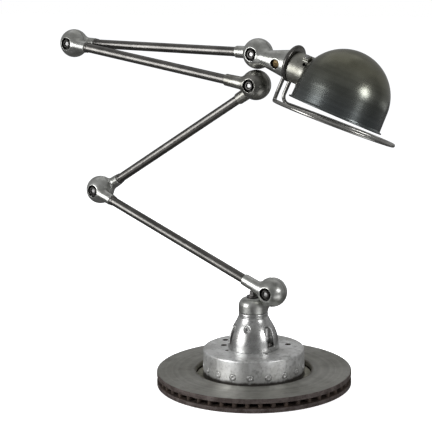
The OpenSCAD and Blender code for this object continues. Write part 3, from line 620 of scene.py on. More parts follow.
def darken_the_wall_foot(material):
    """Darkens the foot of the hat's wall up from the groove: painted shade where the wall meets the groove,
    and dirt.
    """
    groove_shade_and_dirt = (0.045, 0.038, 0.030, 1)
    tree, shader, age = nodes_of(material)
    place = on_piece(tree)
    uneven = math_node(tree, "MULTIPLY", cloud(tree, place, 90, 5.0), 7 * MM)
    climbed = math_node(tree, "SUBTRACT", height_of(tree, place), uneven)
    # darker towards the groove: painted shade where the wall meets the groove, and dirt
    low_shade_and_dirt = ramp(tree, climbed, 19 * MM, 22.5 * MM, 0.9, 0.0)
    tree.links.new(tint(tree, low_shade_and_dirt, age.outputs["Color"], groove_shade_and_dirt), shader.inputs["Base Color"])


hat_paint = metal(
    "blasted_casting",
    clean=(0.80, 0.805, 0.80), tarnish=(0.52, 0.52, 0.505), dirt=(0.06, 0.056, 0.048),
    scale=24, smooth=0.34, rough=0.50, hollow_dirt=0.9, edge_wear=0.5, smudge=0.55, relief=0.6, bright=0.85,
)
darken_the_wall_foot(hat_paint)
hat_profile = closed_profile(
    (hat_start, hat_top - hat_plate),
    [
        (hat_r - hat_wall, hat_top - hat_plate, 2),
        (hat_r - hat_wall, flange_z, 0.6),
        (hole_r, flange_z, 1),
        (hole_r, flange_z + flange_h, 1),
        (hat_r, flange_z + flange_h, 2.5),
        (hat_r, hat_top, hat_edge),
        (hat_r - hat_edge - 1.5, hat_top, 0),
        (grommet_r, hat_top, 0.6),
        (grommet_r, hat_top - hat_plate, 0.6),
    ],
    7,
)
hat = piece("disc_hat", turned(hat_profile, 144, True), hat_paint, "base", on_base)
drill = turned([(0, -1), (1, -1), (1, 1), (0, 1)], 32)
pin_hole = Matrix.Diagonal((pin_r + pin_gap, pin_r + pin_gap, pin_len + 0.3, 1))
drills = [moved(drill, place @ pin_hole) for place in pin_places]
for x, y, r in stud_spots:
    in_plate = shift(x, y, hat_top - hat_plate / 2)
    drills.append(moved(drill, in_plate @ Matrix.Diagonal((r, r, hat_plate, 1))))
cut(hat, joined(*drills))
hat.data.materials.append(groove_iron)
hat.data.materials.append(rust_and_shade)
on_flange, in_stud_hole = 1, 2
for face in hat.data.polygons:
    x, y, z = (v / MM for v in face.center)
    if math.hypot(x, y) > hat_r + 0.4 and z > flange_z + 2:
        face.material_index = on_flange
    # the insides of the stud holes take the near black rust, as painted shade
    near_hole = any(math.hypot(x - hx, y - hy) < r + 0.1 for hx, hy, r in stud_spots)
    if near_hole and z < hat_top - 0.2:
        face.material_index = in_stud_hole

# Pins in the hat wall.
# Steel pins pressed into the wall of the hat all round and blasted clean with it. Their ends were
# faced off, and dirt has collected in the ring round each of them.
dimple_r, dimple_h = 1.6, 0.5
pin_profile = rounded(
    [
        (0, -pin_len),
        (pin_r + pin_gap, -pin_len, 0.4),
        (pin_r + pin_gap, -2.2, 0.2),
        (pin_r, -1.4, 0.3),
        (pin_r, pin_out, 0.7),
        (dimple_r + 0.8, pin_out, 0.5),
        (dimple_r, pin_out - dimple_h, 0.5),
        (0, pin_out - dimple_h),
    ],
    3,
)
pin = turned(pin_profile, 32)
pins = joined(*(moved(pin, place) for place in pin_places))
piece("hat_pins", pins, hat_paint, "base", on_base)

# Cable grommet.
# A black rubber ring in the opening of the hat's top plate, under the foot, for the lead.
grommet_gap, grommet_bore, grommet_start = 0.1, 4.6, 10.0


def make_mottle():
    """Group of a plain stuff's skin: a cloudy change of colour and gloss."""
    tree, given, made = new_group(
        "mottle",
        [
            ("Dark", COLOR, (0.02, 0.02, 0.02, 1)),
            ("Pale", COLOR, (0.05, 0.05, 0.05, 1)),
            ("Scale", FLOAT, 100.0),
            ("Detail", FLOAT, 5.0),
            ("Low", FLOAT, 0.35),
            ("High", FLOAT, 0.65),
            ("Smooth", FLOAT, 0.3),
            ("Rough", FLOAT, 0.6),
        ],
        [("Color", COLOR), ("Roughness", FLOAT), ("Height", FLOAT)],
    )
    mottled = cloud(tree, on_piece(tree), given["Scale"], given["Detail"])
    spread = ramp(tree, mottled, given["Low"], given["High"])
    tree.links.new(tint(tree, spread, given["Dark"], given["Pale"]), made["Color"])
    tree.links.new(ramp(tree, mottled, 0.3, 0.7, given["Smooth"], given["Rough"]), made["Roughness"])
    tree.links.new(mottled, made["Height"])
    return tree


mottle = make_mottle()


def stuff(name, dark, pale, scale, detail, low, high, smooth, rough):
    """A material of moulded or pressed stuff on the mottle group."""
    values = {
        "Dark": dark + (1,),
        "Pale": pale + (1,),
        "Scale": scale,
        "Detail": detail,
        "Low": low,
        "High": high,
        "Smooth": smooth,
        "Rough": rough,
    }
    return with_group(name, mottle, "skin", values)


rubber = stuff(
    "grommet_rubber",
    dark=(0.012, 0.012, 0.012), pale=(0.05, 0.048, 0.045),
    scale=120, detail=5.0, low=0.4, high=0.7, smooth=0.55, rough=0.85,
)
add_relief(rubber, rubber.node_tree.nodes["skin"].outputs["Height"], 1.0, 0.2 * MM)
grommet_low, grommet_top = hat_top - hat_plate, hat_top - grommet_gap
grommet_profile = closed_profile(
    (grommet_start, grommet_low),
    [
        (grommet_r - grommet_gap, grommet_low, 0.5),
        (grommet_r - grommet_gap, grommet_top, 0.5),
        (grommet_bore, grommet_top, 1.5),
        (grommet_bore, grommet_low, 1.5),
    ],
)
piece("cable_grommet", turned(grommet_profile, 64, True), rubber, "base", on_base)

# Foot.
# A bell-shaped aluminium casting, bolted on the hat through three deep pockets in its side. The skin
# is rubbed smooth and grey, brighter on the edges of the pockets.
foot_r, foot_h, bell_r, neck_r, bore_r, web_h, bolt_bore = 43.7, 62.5, 85.0, 25.0, 21.0, 9.0, 5.0
groove_below, groove_out, groove_r = 6.0, 0.6, 1.5
pocket_r, pocket_out, pocket_turn, ledge_h, pocket_h = 7.0, 35.0, -11.0, 8.0, 34.0
set_r, set_z, set_turn, set_out = 5.25, 39.0, -75.0, 28.0
pocket_turns = [pocket_turn + 120 * k for k in range(3)]


def soft_min(a, b, r):
    """The smaller of two distance fields, with a fillet of about this radius where they meet."""
    h = np.maximum(r - np.abs(a - b), 0)
    return np.minimum(a, b) - h * h / (4 * r)


def soft_max(a, b, r):
    """The larger of two distance fields, with a rounded edge where they meet."""
    return -soft_min(-a, -b, r)


def slope_of(field, points, h):
    """Gradient of a distance field at points."""
    rows = [(field(*(points + e).T) - field(*(points - e).T)) / (2 * h) for e in h * np.eye(3)]
    return np.stack(rows, 1)


def cast_form(field, low, high, step):
    """The surface where a distance field is zero, as points and quads on a grid of this step."""
    axes = [np.arange(a - 2 * step, b + 3 * step, step) for a, b in zip(low, high)]
    inside = field(*np.meshgrid(*axes, indexing="ij")) < 0
    n = np.array(inside.shape) - 1
    corners = sum(
        inside[i : n[0] + i, j : n[1] + j, k : n[2] + k].astype(np.int8)
        for i in (0, 1)
        for j in (0, 1)
        for k in (0, 1)
    )
    live = (corners > 0) & (corners < 8)
    index = np.full(live.shape, -1)
    index[live] = np.arange(live.sum())
    cells = np.argwhere(live)
    points = np.stack([axes[a][cells[:, a]] + step / 2 for a in range(3)], 1)
    quads = []
    for a in range(3):
        b, c = (a + 1) % 3, (a + 2) % 3
        low_side = np.delete(inside, -1, a)
        at = np.argwhere(low_side != np.delete(inside, 0, a))
        around = []
        for db, dc in ((1, 1), (0, 1), (0, 0), (1, 0)):
            cell = at.copy()
            cell[:, b] -= db
            cell[:, c] -= dc
            around.append(index[tuple(cell.T)])
        quad = np.stack(around, 1)
        outward = low_side[tuple(at.T)]
        quads.append(np.where(outward[:, None], quad, quad[:, ::-1]))
    quads = np.concatenate(quads)

    def settle():
        for _ in range(3):
            slope = slope_of(field, points, step * 0.05)
            steepness = np.maximum((slope**2).sum(1), 0.2)
            move = slope * (field(*points.T) / steepness)[:, None]
            far = np.linalg.norm(move, axis=1)[:, None]
            points[:] -= move * np.minimum(1, step / np.maximum(far, 1e-9))

    settle()
    for _ in range(2):
        total, share = np.zeros_like(points), np.zeros(len(points))
        for i, j in ((0, 1), (1, 2), (2, 3), (3, 0), (1, 0), (2, 1), (3, 2), (0, 3)):
            np.add.at(total, quads[:, i], points[quads[:, j]])
            np.add.at(share, quads[:, i], 1)
        points += 0.5 * (total / np.maximum(share, 1)[:, None] - points)
        settle()
    return points, quads.tolist()


def turned_to(x, y, degrees):
    """Coordinates along and across a direction in the plane."""
    c, s = math.cos(math.radians(degrees)), math.sin(math.radians(degrees))
    return x * c + y * s, y * c - x * s


def foot_field(x, y, z):
    r = np.hypot(x, y)
    form = soft_min(np.hypot(r + bell_r - foot_r, z) - bell_r, r - neck_r, 6)
    form = soft_max(form, z - foot_h, 1.6)
    groove = np.hypot(r - neck_r - groove_out, z - foot_h + groove_below) - groove_r
    form = soft_max(form, -groove, 0.8)
    spring = ledge_h + pocket_h - pocket_r
    for turn in pocket_turns:
        u, v = turned_to(x, y, turn)
        side = np.where(u < pocket_out, np.hypot(u - pocket_out, v), np.abs(v))
        side = np.where(z > spring, np.hypot(side, z - spring), side) - pocket_r
        form = soft_max(form, -soft_max(side, ledge_h - z, 2), 2.4)
    u, v = turned_to(x, y, set_turn)
    form = soft_max(form, -np.maximum(np.hypot(v, z - set_z) - set_r, set_out - u), 1.2)
    form = soft_max(form, -np.maximum(r - bore_r, z - foot_h + web_h), 0.8)
    form = np.maximum(form, bolt_bore - r)
    return soft_max(form, -z, 0.8)


foot_paint = metal(
    "rubbed_casting",
    clean=(0.66, 0.665, 0.66), tarnish=(0.42, 0.42, 0.41), dirt=(0.06, 0.055, 0.047),
    scale=34, smooth=0.24, rough=0.34, hollow_dirt=0.8, edge_wear=0.6, smudge=0.3, relief=0.15,
)
on_hat = shift(base_x, 0, hat_top)
foot_form = cast_form(foot_field, (-44, -44, 0), (44, 44, foot_h), 1.0)
piece("foot", foot_form, foot_paint, "base", on_hat)

# Foot bolts and set screw.
# Blackened socket screws hold the foot on the hat, one in each pocket. A short bare one sits below
# the surface of the foot and locks the swivel bolt.
head_r, head_h, shank_r, shank_len, key_half, key_floor = 5.0, 6.0, 3.0, 8.0, 2.5, 2.5
set_h, set_key_half, set_key_floor = 5.0, 2.6, 2.0
dark_steel = metal(
    "blackened_steel",
    clean=(0.17, 0.165, 0.16), tarnish=(0.085, 0.082, 0.08), dirt=(0.025, 0.022, 0.02),
    scale=50, smooth=0.3, rough=0.5, hollow_dirt=0.8, edge_wear=0.7, smudge=0.4, relief=0.4,
)


def six_sided(x, y, half):
    """Distance from a hexagon of this half width across its flats."""
    x, y = np.abs(x), np.abs(y)
    return np.maximum(x, 0.5 * x + math.sqrt(0.75) * y) - half


def bolt_field(x, y, z):
    r = np.hypot(x, y)
    head = soft_max(r - head_r, np.maximum(z - head_h, -z), 0.9)
    head = soft_max(head, -np.maximum(six_sided(x, y, key_half), key_floor - z), 0.5)
    return np.minimum(head, np.maximum(r - shank_r, np.maximum(z - 1, -shank_len - z)))


def plug_field(x, y, z):
    plug = soft_max(np.hypot(x, y) - set_r, np.maximum(z - set_h, -z), 0.8)
    return soft_max(plug, -np.maximum(six_sided(x, y, set_key_half), set_key_floor - z), 0.5)


foot_bolt = cast_form(bolt_field, (-head_r, -head_r, -shank_len), (head_r, head_r, head_h), 0.4)
on_ledge = shift(pocket_out, 0, ledge_h)
bolts = joined(*(moved(foot_bolt, spin(turn, "Z") @ on_ledge) for turn in pocket_turns))
piece("foot_bolts", bolts, dark_steel, "base", on_hat)
set_form = cast_form(plug_field, (-6, -6, 0), (6, 6, set_h), 0.4)
set_place = on_hat @ spin(set_turn, "Z") @ shift(set_out, 0, set_z) @ along_x
piece("set_screw", set_form, foot_paint, "base", set_place)

# Swivel bolt and nut.
# A steel bolt stands up through the foot and the dome. A washer and a black hexagon nut on top keep
# the dome down while it turns.
foot_top, swivel_gap, dome_h, washer_gap = hat_top + foot_h, 0.5, 25.0, 0.4
dome_z = foot_top + swivel_gap
nut_z = dome_z + dome_h + washer_gap
bolt_r, bolt_head_r, bolt_head_h, bolt_bevel = 5.0, 8.0, 6.0, 1.2
washer_r, washer_h, nut_half, nut_h = 11.0, 2.5, 6.06, 7.5
nut_chamfer, chamfer_slope = 6.4, 1.7
web_low, bolt_top = foot_top - web_h, nut_z + washer_h + nut_h
bolt_profile = rounded(
    [
        (0, web_low - bolt_head_h),
        (bolt_head_r, web_low - bolt_head_h, 0.8),
        (bolt_head_r, web_low, 0.5),
        (bolt_r, web_low, 0.3),
        (bolt_r, bolt_top - bolt_bevel, 0.2),
        (bolt_r - bolt_bevel, bolt_top, 0.3),
        (0, bolt_top),
    ],
    3,
)
piece("swivel_bolt", turned(bolt_profile, 48), dark_steel, "base", on_base)


def nut_field(x, y, z):
    r = np.hypot(x, y)
    washer = soft_max(r - washer_r, np.abs(z - washer_h / 2) - washer_h / 2, 0.7)
    from_top = z - washer_h - nut_h
    # the nut's corners lie along x
    nut = soft_max(six_sided(y, x, nut_half), np.maximum(from_top, 1 - z), 0.5)
    nut = soft_max(nut, r + chamfer_slope * from_top - nut_chamfer, 0.4)
    return soft_max(np.minimum(washer, nut), bolt_r - r, 0.4)


nut_box = ((-washer_r, -washer_r, 0), (washer_r, washer_r, washer_h + nut_h))
swivel_nut = cast_form(nut_field, *nut_box, 0.45)
piece("swivel_nut", swivel_nut, dark_steel, "base", shift(base_x, 0, nut_z))

# Swivel dome.
# A polished aluminium casting that turns on the foot: a round-shouldered cap, with an arm that leans
# out to the back half of the first ball.
dome_r, shoulder_r, hollow_r, hollow_h = 25.0, 14.0, 19.0, 11.0
ball_r, seam, seam_edge, arm_off, ball_clear = 25.25, 0.3, 0.9, 13.0, 0.4
stem_run, stem_fall, stem_r, stem_stop = 32.75, 30.667, 11.0, 0.86
recess_r, recess_floor, recess_mouth = 10.75, 17.0, 23.0
pivot_r, pivot_play, contact_r, contact_depth = 4.0, 0.05, 19.0, 3.3
ball_1 = Vector((39, 0, 39))


def pole_cuts(form, x, y, z, play):
    """Cuts a ball half's recess, pivot hole and contact pocket; y points out of the seam."""
    from_pole = np.hypot(x, z)
    form = soft_max(form, -soft_max(from_pole - recess_r, recess_floor - y, 1.0), 1.3)
    form = soft_max(form, pivot_r + play - from_pole, 0.3)
    return soft_max(form, -np.maximum(from_pole - contact_r, y - contact_depth), 0.6)


def dome_field(x, y, z):
    r = np.hypot(x, y)
    flat_r, flat_h = dome_r - shoulder_r, dome_h - shoulder_r
    shoulder = np.hypot(r - flat_r, z - flat_h) - shoulder_r
    cap = np.where((r > flat_r) & (z > flat_h), shoulder, np.maximum(r - dome_r, z - dome_h))
    bx, bz = x - ball_1.x, z - ball_1.z
    ball = np.sqrt(bx * bx + y * y + bz * bz) - ball_r
    down = np.clip(-(bx * stem_run + bz * stem_fall) / (stem_run**2 + stem_fall**2), 0, stem_stop)
    sx, sy, sz = bx + stem_run * down, y - arm_off, bz + stem_fall * down
    stem = np.sqrt(sx**2 + sy**2 + sz**2) - stem_r
    half = soft_max(ball, seam - y, seam_edge)
    form = soft_min(soft_min(cap, stem, 7), half, 6)
    form = soft_max(form, -np.maximum(ball - ball_clear, y - seam), seam_edge)
    form = pole_cuts(form, bx, y, bz, 0.0)
    form = np.maximum(form, -np.maximum(r - hollow_r, z - hollow_h))
    form = np.maximum(form, bolt_r + pivot_play - r)
    return soft_max(form, -z, 1.0)


bare = metal(
    "polished_aluminium",
    clean=(0.62, 0.627, 0.605), tarnish=(0.42, 0.425, 0.40), dirt=(0.07, 0.066, 0.055),
    scale=48, smooth=0.29, rough=0.37, hollow_dirt=0.85, edge_wear=0.5, smudge=0.25, relief=0.10,
)
# Near black for the insides of deep recesses: painted shade, with some grime.
recess_shade_and_grime = metal(
    "recess_shade_and_grime",
    clean=(0.07, 0.068, 0.065), tarnish=(0.03, 0.029, 0.028), dirt=(0.012, 0.011, 0.01),
    scale=60, smooth=0.5, rough=0.8, hollow_dirt=0.6, edge_wear=0.3, smudge=0.5, relief=0.6,
)
in_painted_shade = 1


def shade_the_recess(obj, form, centre=(0, 0, 0), side=-1):
    """Paints the faces inside a ball half's pole recess near black: painted shade deep in the recess, with
    grime.
    """
    obj.data.materials.append(recess_shade_and_grime)
    for face, corners in zip(obj.data.polygons, form[1]):
        x, y, z = form[0][corners].mean(0) - centre
        wall = recess_r + 0.1 if side * y < recess_mouth else recess_r - 0.4
        if math.hypot(x, z) < wall and side * y > recess_floor - 0.6:
            face.material_index = in_painted_shade


dome_form = cast_form(dome_field, (-25, -26, 0), (65, 26, 65), 0.9)
dome = piece("swivel_dome", dome_form, bare, "swivel", shift(base_x, 0, dome_z))
# the dome's pole recess is painted near black as shade
shade_the_recess(dome, dome_form, ball_1, 1)

# Ball halves of the arms.
# Each arm ends in two polished aluminium castings: half a ball with a socket for the tube beside its
# seam. The halves of two arms make one ball and turn on a bolt through its poles.
arm_count, arm_len, socket_r, socket_taper, tube_grip, tube_r = 4, 400.0, 10.0, 1.2, 11.0, 8.0
long_reach, short_reach, ball_box, ball_gap = 52.0, 40.0, 25.5, 1.1
# the last arm folds back until its far ball lies this gap from the ball where the third arm starts
fold = 2 * math.degrees(math.acos((2 * ball_r + ball_gap) / (2 * arm_len)))
leans = (159.0, 30.7, 171.3, 171.3 - fold)
balls = [Vector((base_x, 0, dome_z)) + ball_1]
for lean in leans:
    w = math.radians(lean)
    balls.append(balls[-1] + arm_len * Vector((math.cos(w), 0, math.sin(w))))
arm_places = [Matrix.Translation(balls[k]) @ spin(-leans[k], "Y") for k in range(arm_count)]


def half_with_socket(reach):
    """Form of a front ball half whose socket runs along x."""

    def field(x, y, z):
        ball = np.sqrt(x * x + y * y + z * z) - ball_r
        out = np.hypot(y + arm_off, z)
        taper = socket_r + socket_taper * (1 - x / reach)
        sleeve = soft_max(out - taper, np.maximum(x - reach, -x), 1.4)
        form = soft_min(ball, sleeve, 4.5)
        form = pole_cuts(form, x, -y, z, pivot_play)
        form = soft_max(form, -np.maximum(out - tube_r, reach - tube_grip - x), 0.5)
        return soft_max(form, y + seam, seam_edge)

    return cast_form(field, (-ball_box, -ball_box, -ball_box), (reach, 0, ball_box), 0.8)


# A darker copy of the aluminium, given to two of the ball halves.
bare_darker = metal(
    "darker_aluminium",
    clean=(0.38, 0.375, 0.35), tarnish=(0.22, 0.217, 0.196), dirt=(0.05, 0.046, 0.038),
    scale=48, smooth=0.28, rough=0.36, hollow_dirt=0.85, edge_wear=0.6, smudge=0.3, relief=0.10,
)
darker_halves = ("arm_2_upper", "arm_3_lower")
long_half, short_half = half_with_socket(long_reach), half_with_socket(short_reach)
for k, lower in enumerate(arm_places):
    in_front = k % 2 == 0
    side = Matrix.Identity(4) if in_front else spin(180, "X")
    upper = lower @ shift(arm_len, 0, 0) @ spin(180, "Y")
    forms = (long_half, short_half) if in_front else (short_half, long_half)
    for end, place, form in (("lower", lower, forms[0]), ("upper", upper, forms[1])):
        name = f"arm_{k + 1}_{end}"
        finish = bare_darker if name in darker_halves else bare
        half = piece(name, form, finish, f"arm_{k + 1}", place @ side)
        # each half's pole recess is painted near black as shade
        shade_the_recess(half, form)

# Pivot bolts, nuts and contacts.
# A steel bolt through the poles of each ball, its round head at the back and a round nut at the
# front, both deep in their recesses. Insulating discs with copper rings carry the current inside.
nut_r, nut_height, mouth_r, mouth_h, nut_start, play_gap, tip_bevel = 7.5, 5.5, 4.5, 2.0, 5.5, 0.4, 0.8
# The nuts are near black: blackened steel, darkened further as painted shade deep in their recesses.
nut_black_and_shade = metal(
    "blacked_nuts_in_shade",
    clean=(0.075, 0.073, 0.07), tarnish=(0.035, 0.034, 0.032), dirt=(0.012, 0.011, 0.01),
    scale=90, smooth=0.3, rough=0.5, hollow_dirt=0.8, edge_wear=0.6, smudge=0.4, relief=0.2,
)
bare_steel = metal(
    "bare_steel",
    clean=(0.50, 0.50, 0.50), tarnish=(0.36, 0.355, 0.35), dirt=(0.06, 0.055, 0.05),
    scale=60, smooth=0.35, rough=0.55, hollow_dirt=0.9, edge_wear=0.5, smudge=0.3, relief=0.5,
)
nut_profile = closed_profile(
    (nut_start, 0),
    [
        (nut_r, 0, 0.3),
        (nut_r, nut_height, 1.2),
        (mouth_r, nut_height, 0.4),
        (mouth_r, nut_height - mouth_h, 0.3),
        (pivot_r, nut_height - mouth_h, 0.2),
        (pivot_r, 0, 0.2),
    ],
)
nut_form = turned(nut_profile, 48, True)


def pivot_profile(tip, seat):
    """Outline of a pivot bolt from its tip to its head, which sits on the seat."""
    head_top = seat + nut_height
    return rounded(
        [
            (0, tip),
            (pivot_r - tip_bevel, tip, 0.3),
            (pivot_r, tip + tip_bevel, 0.2),
            (pivot_r, seat, 0.2),
            (nut_r, seat, 0.3),
            (nut_r, head_top, 1.2),
            (mouth_r, head_top, 0.4),
            (mouth_r, head_top - mouth_h, 0.4),
            (0, head_top - mouth_h),
        ]
    )


for b, centre in enumerate(balls):
    # the half that turns with the bolt lets it sit tight, and the other leaves it some play
    tight, loose = recess_floor, recess_floor + play_gap
    front, rear = (loose, tight) if b % 2 == 0 else (tight, loose)
    body = "swivel" if b == 0 else f"arm_{b}"
    at_ball = Matrix.Translation(centre)
    nut_place = at_ball @ spin(90, "X") @ shift(0, 0, front)
    piece(f"pivot_nut_{b + 1}", nut_form, nut_black_and_shade, body, nut_place)
    bolt_form = turned(pivot_profile(-(front + nut_height - mouth_h), rear), 48)
    bolt_place = at_ball @ spin(-90, "X")
    piece(f"pivot_bolt_{b + 1}", bolt_form, bare_steel, body, bolt_place)
fibre = stuff(
    "contact_fibre",
    dark=(0.03, 0.014, 0.008), pale=(0.07, 0.035, 0.02),
    scale=300, detail=6.0, low=0.35, high=0.65, smooth=0.45, rough=0.7,
)
copper = metal(
    "contact_copper",
    clean=(0.75, 0.42, 0.27), tarnish=(0.45, 0.22, 0.13), dirt=(0.05, 0.03, 0.02),
    scale=80, smooth=0.25, rough=0.45, hollow_dirt=0.6, edge_wear=0.4, smudge=0.4, relief=0.2,
)
for b in range(1, len(balls) + 1):
    for kind, finish in (("contact_disc", fibre), ("brush_disc", fibre), ("contact_rings", copper)):
        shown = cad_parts[f"{kind}_{b}"].data
        shown.materials.clear()
        shown.materials.append(finish)

# Arm tubes.
# Seamless steel tube, burnished dark and waxed, pressed into the sockets. A bead is rolled into each
# tube where it meets the shorter socket.
tube_wall, bead_rise, bead_w = 1.5, 1.1, 5.0
burnished = metal(
    "burnished_tube",
    clean=(0.19, 0.185, 0.176), tarnish=(0.125, 0.121, 0.115), dirt=(0.04, 0.036, 0.031),
    scale=30, smooth=0.29, rough=0.34, hollow_dirt=0.6, edge_wear=0.4, smudge=0.25, relief=0.04,
)
for k, lower in enumerate(arm_places):
    in_front = k % 2 == 0
    near_reach, far_reach = (long_reach, short_reach) if in_front else (short_reach, long_reach)
    start, stop = near_reach - tube_grip, arm_len - far_reach + tube_grip
    bead = arm_len - short_reach - bead_w if in_front else short_reach
    tube_profile = rounded(
        [
            (tube_r - tube_wall, start),
            (tube_r, start, 0.3),
            (tube_r, bead, 0.5),
            (tube_r + bead_rise, bead, 1.0),
            (tube_r + bead_rise, bead + bead_w, 1.0),
            (tube_r, bead + bead_w, 0.5),
            (tube_r, stop, 0.3),
            (tube_r - tube_wall, stop),
        ]
    )
    tube_place = lower @ shift(0, -arm_off if in_front else arm_off, 0) @ along_x
    tube = turned(tube_profile, 64, True)
    piece(f"arm_{k + 1}_tube", tube, burnished, f"arm_{k + 1}", tube_place)

# Head bracket.
# Polished aluminium like the arm ends: the front half of the last ball flares into a round socket
# that takes the spigot of the reflector.
head_lean, head_rise, bracket_len, bracket_r, root_r, root_x = 18.2, 4.0, 65.0, 23.5, 11.0, 12.0
horn_start, horn_end, horn_slope = root_x + 1, bracket_len - 6, 0.94
spigot_r, spigot_len, spigot_gap, spigot_end_gap = 15.0, 21.5, 0.05, 0.4
screw_turn, screw_z, screw_back, screw_pocket_r = -7.0, 18.0, 16.0, 7.5
head_place = Matrix.Translation(balls[-1]) @ spin(head_lean, "Y")


def bracket_field(x, y, z):
    ball = np.sqrt(x * x + y * y + z * z) - ball_r
    share = np.clip((x - horn_start) / (horn_end - horn_start), 0, 1)
    flare = root_r + (bracket_r - root_r) * share
    horn = (np.hypot(y + arm_off * (1 - share), z - head_rise * share) - flare) * horn_slope
    horn = soft_max(horn, np.maximum(x - bracket_len, root_x - x), 1.6)
    form = soft_min(soft_max(ball, y + seam, seam_edge), horn, 8)
    form = soft_max(form, -np.maximum(ball - ball_clear, -seam - y), seam_edge)
    form = pole_cuts(form, x, -y, z, pivot_play)
    rise = z - head_rise
    socket_floor = bracket_len - spigot_len - spigot_end_gap
    socket = np.maximum(np.hypot(y, rise) - spigot_r - spigot_gap, socket_floor - x)
    form = soft_max(form, -socket, 0.8)
    out, across = turned_to(-y, rise, screw_turn)
    from_screw = np.hypot(x - bracket_len + screw_back, across)
    return soft_max(form, -soft_max(from_screw - screw_pocket_r, screw_z - out, 0.6), 1.2)


bracket_form = cast_form(bracket_field, (-ball_box, -ball_box, -ball_box), (bracket_len, 24, 28), 0.85)
bracket = piece("head_bracket", bracket_form, bare, "head", head_place)
# the bracket's pole recess is painted near black as shade
shade_the_recess(bracket, bracket_form)
# faces in the retaining screw's counterbore are painted near black too, as shade deep in it
for face, corners in zip(bracket.data.polygons, bracket_form[1]):
    x, y, z = bracket_form[0][corners].mean(0)
    out, across = turned_to(-y, z - head_rise, screw_turn)
    from_screw = math.hypot(x - bracket_len + screw_back, across)
    if from_screw < screw_pocket_r + 0.4 and out > screw_z - 1:
        face.material_index = in_painted_shade


# Retaining screw.
# A slotted brass screw in a counterbore of the bracket. Its tip runs in a groove of the spigot and
# keeps the reflector from sliding out.
def slotted_screw(head, height, shank, length, slot, slot_h, step):
    """Form of a slotted screw with its head's seat on z = 0."""

    def field(x, y, z):
        r = np.hypot(x, y)
        crown = z - height + 0.6 * (r / head) ** 2
        top = soft_max(r - head, np.maximum(crown, -z), 0.6)
        top = soft_max(top, -np.maximum(np.abs(y) - slot / 2, height - slot_h - z), 0.25)
        return np.minimum(top, soft_max(r - shank, np.maximum(z - 0.5, -length - z), 0.4))

    return cast_form(field, (-head, -head, -length), (head, head, height), step)


brass = metal(
    "worn_brass",
    clean=(0.17, 0.122, 0.058), tarnish=(0.05, 0.036, 0.02), dirt=(0.02, 0.016, 0.010),
    scale=160, smooth=0.34, rough=0.46, hollow_dirt=0.9, edge_wear=0.6, smudge=0.5, relief=0.15,
)
screw_form = slotted_screw(head=6.5, height=2.5, shank=2.5, length=5.6, slot=1.5, slot_h=1.2, step=0.35)
on_head = head_place @ shift(0, 0, head_rise)
screw_place = on_head @ shift(bracket_len - screw_back, 0, 0) @ spin(90 - screw_turn, "X")
screw_place = screw_place @ shift(0, 0, screw_z)
piece("retaining_screw", screw_form, brass, "head", screw_place)

# Rod guard and handle.
# A steel rod bent into a ring under the shade, with two straight ends that turn up into a thick
# round-edged collar behind the lampholder cover. It is dark and polished by hands.
shade_roll, guard_tilt, guard_turn = -16.0, -1.9, 1.5
collar_x, collar_r, collar_h, collar_rise, collar_bevel, leg_sink = 65.4, 31.0, 8.0, 4.0, 0.6, 3.0
leg_x, leg_y, leg_bend, heel_z, rod_r = 68.6, 12.0, 14.0, -61.0, 3.2
guard_r, guard_back = 100.0, 8.1
ring_x = guard_r + guard_back


def swept(path, radius, sides=24):
    """A round rod along a path."""
    path = np.array(path, float)
    ways = np.gradient(path, axis=0)
    ways /= np.linalg.norm(ways, axis=1)[:, None]
    angles = np.arange(sides) * 2 * math.pi / sides
    side = np.cross(ways[0], (0.3, 1, 0.2))
    rings = []
    for p, way in zip(path, ways):
        side = side - way * (side @ way)
        side /= np.linalg.norm(side)
        other = np.cross(way, side)
        rings += [p + radius * (math.cos(w) * side + math.sin(w) * other) for w in angles]
    faces = []
    for i in range(len(path) - 1):
        for k in range(sides):
            n = (k + 1) % sides
            faces.append([i * sides + k, i * sides + n, (i + 1) * sides + n, (i + 1) * sides + k])
    last = (len(path) - 1) * sides
    return np.array(rings), faces + [list(range(sides))[::-1], list(range(last, last + sides))]


def guard_path():
    """Centre line of the rod: down one leg, round the ring and up the other leg."""
    opening = math.atan2(leg_y, ring_x) + math.acos(guard_r / math.hypot(ring_x, leg_y))
    way = np.array((-math.sin(opening), -math.cos(opening), 0))
    heel = np.array((0, leg_y, 0))
    bow = []
    for a in np.radians(np.arange(90, -1, -7.5)):
        lifted = np.array((0, 0, leg_bend * (1 - math.cos(a))))
        bow.append(heel - leg_bend * (1 - math.sin(a)) * way + lifted)
    bend_end = bow[-1]
    touch = np.array((ring_x - guard_r * math.cos(opening), guard_r * math.sin(opening), 0))
    bow += [bend_end + (touch - bend_end) * k / 8 for k in range(1, 9)]
    for w in np.linspace(math.pi - opening, 0, 60)[1:]:
        bow.append(np.array((ring_x + guard_r * math.cos(w), guard_r * math.sin(w), 0)))
    # the ring and its bends rise towards the front, and the legs come down from the collar
    tilted = np.array(spin(guard_tilt, "Y"))[:3, :3]
    bow = [tilted @ p + (leg_x, 0, heel_z) for p in bow]
    top_z = collar_rise + leg_sink - math.sqrt((collar_r - rod_r) ** 2 - leg_y**2)
    tip = np.array((leg_x, leg_y, top_z))
    half_path = [tip + (bow[0] - tip) * k / 6 for k in range(6)] + bow
    return half_path + [p * (1, -1, 1) for p in reversed(half_path[:-1])]


bore_edge = spigot_r + spigot_gap
collar_round = collar_h / 2
collar_edge = [
    (collar_r - collar_round + collar_round * math.sin(w), collar_round - collar_round * math.cos(w))
    for w in np.linspace(0, math.pi, 17)
]
collar_profile = [(bore_edge, collar_bevel), (spigot_r + collar_bevel, 0)] + collar_edge
collar_profile += [(spigot_r + collar_bevel, collar_h), (bore_edge, collar_h - collar_bevel)]
collar = turned(collar_profile, 96, True)
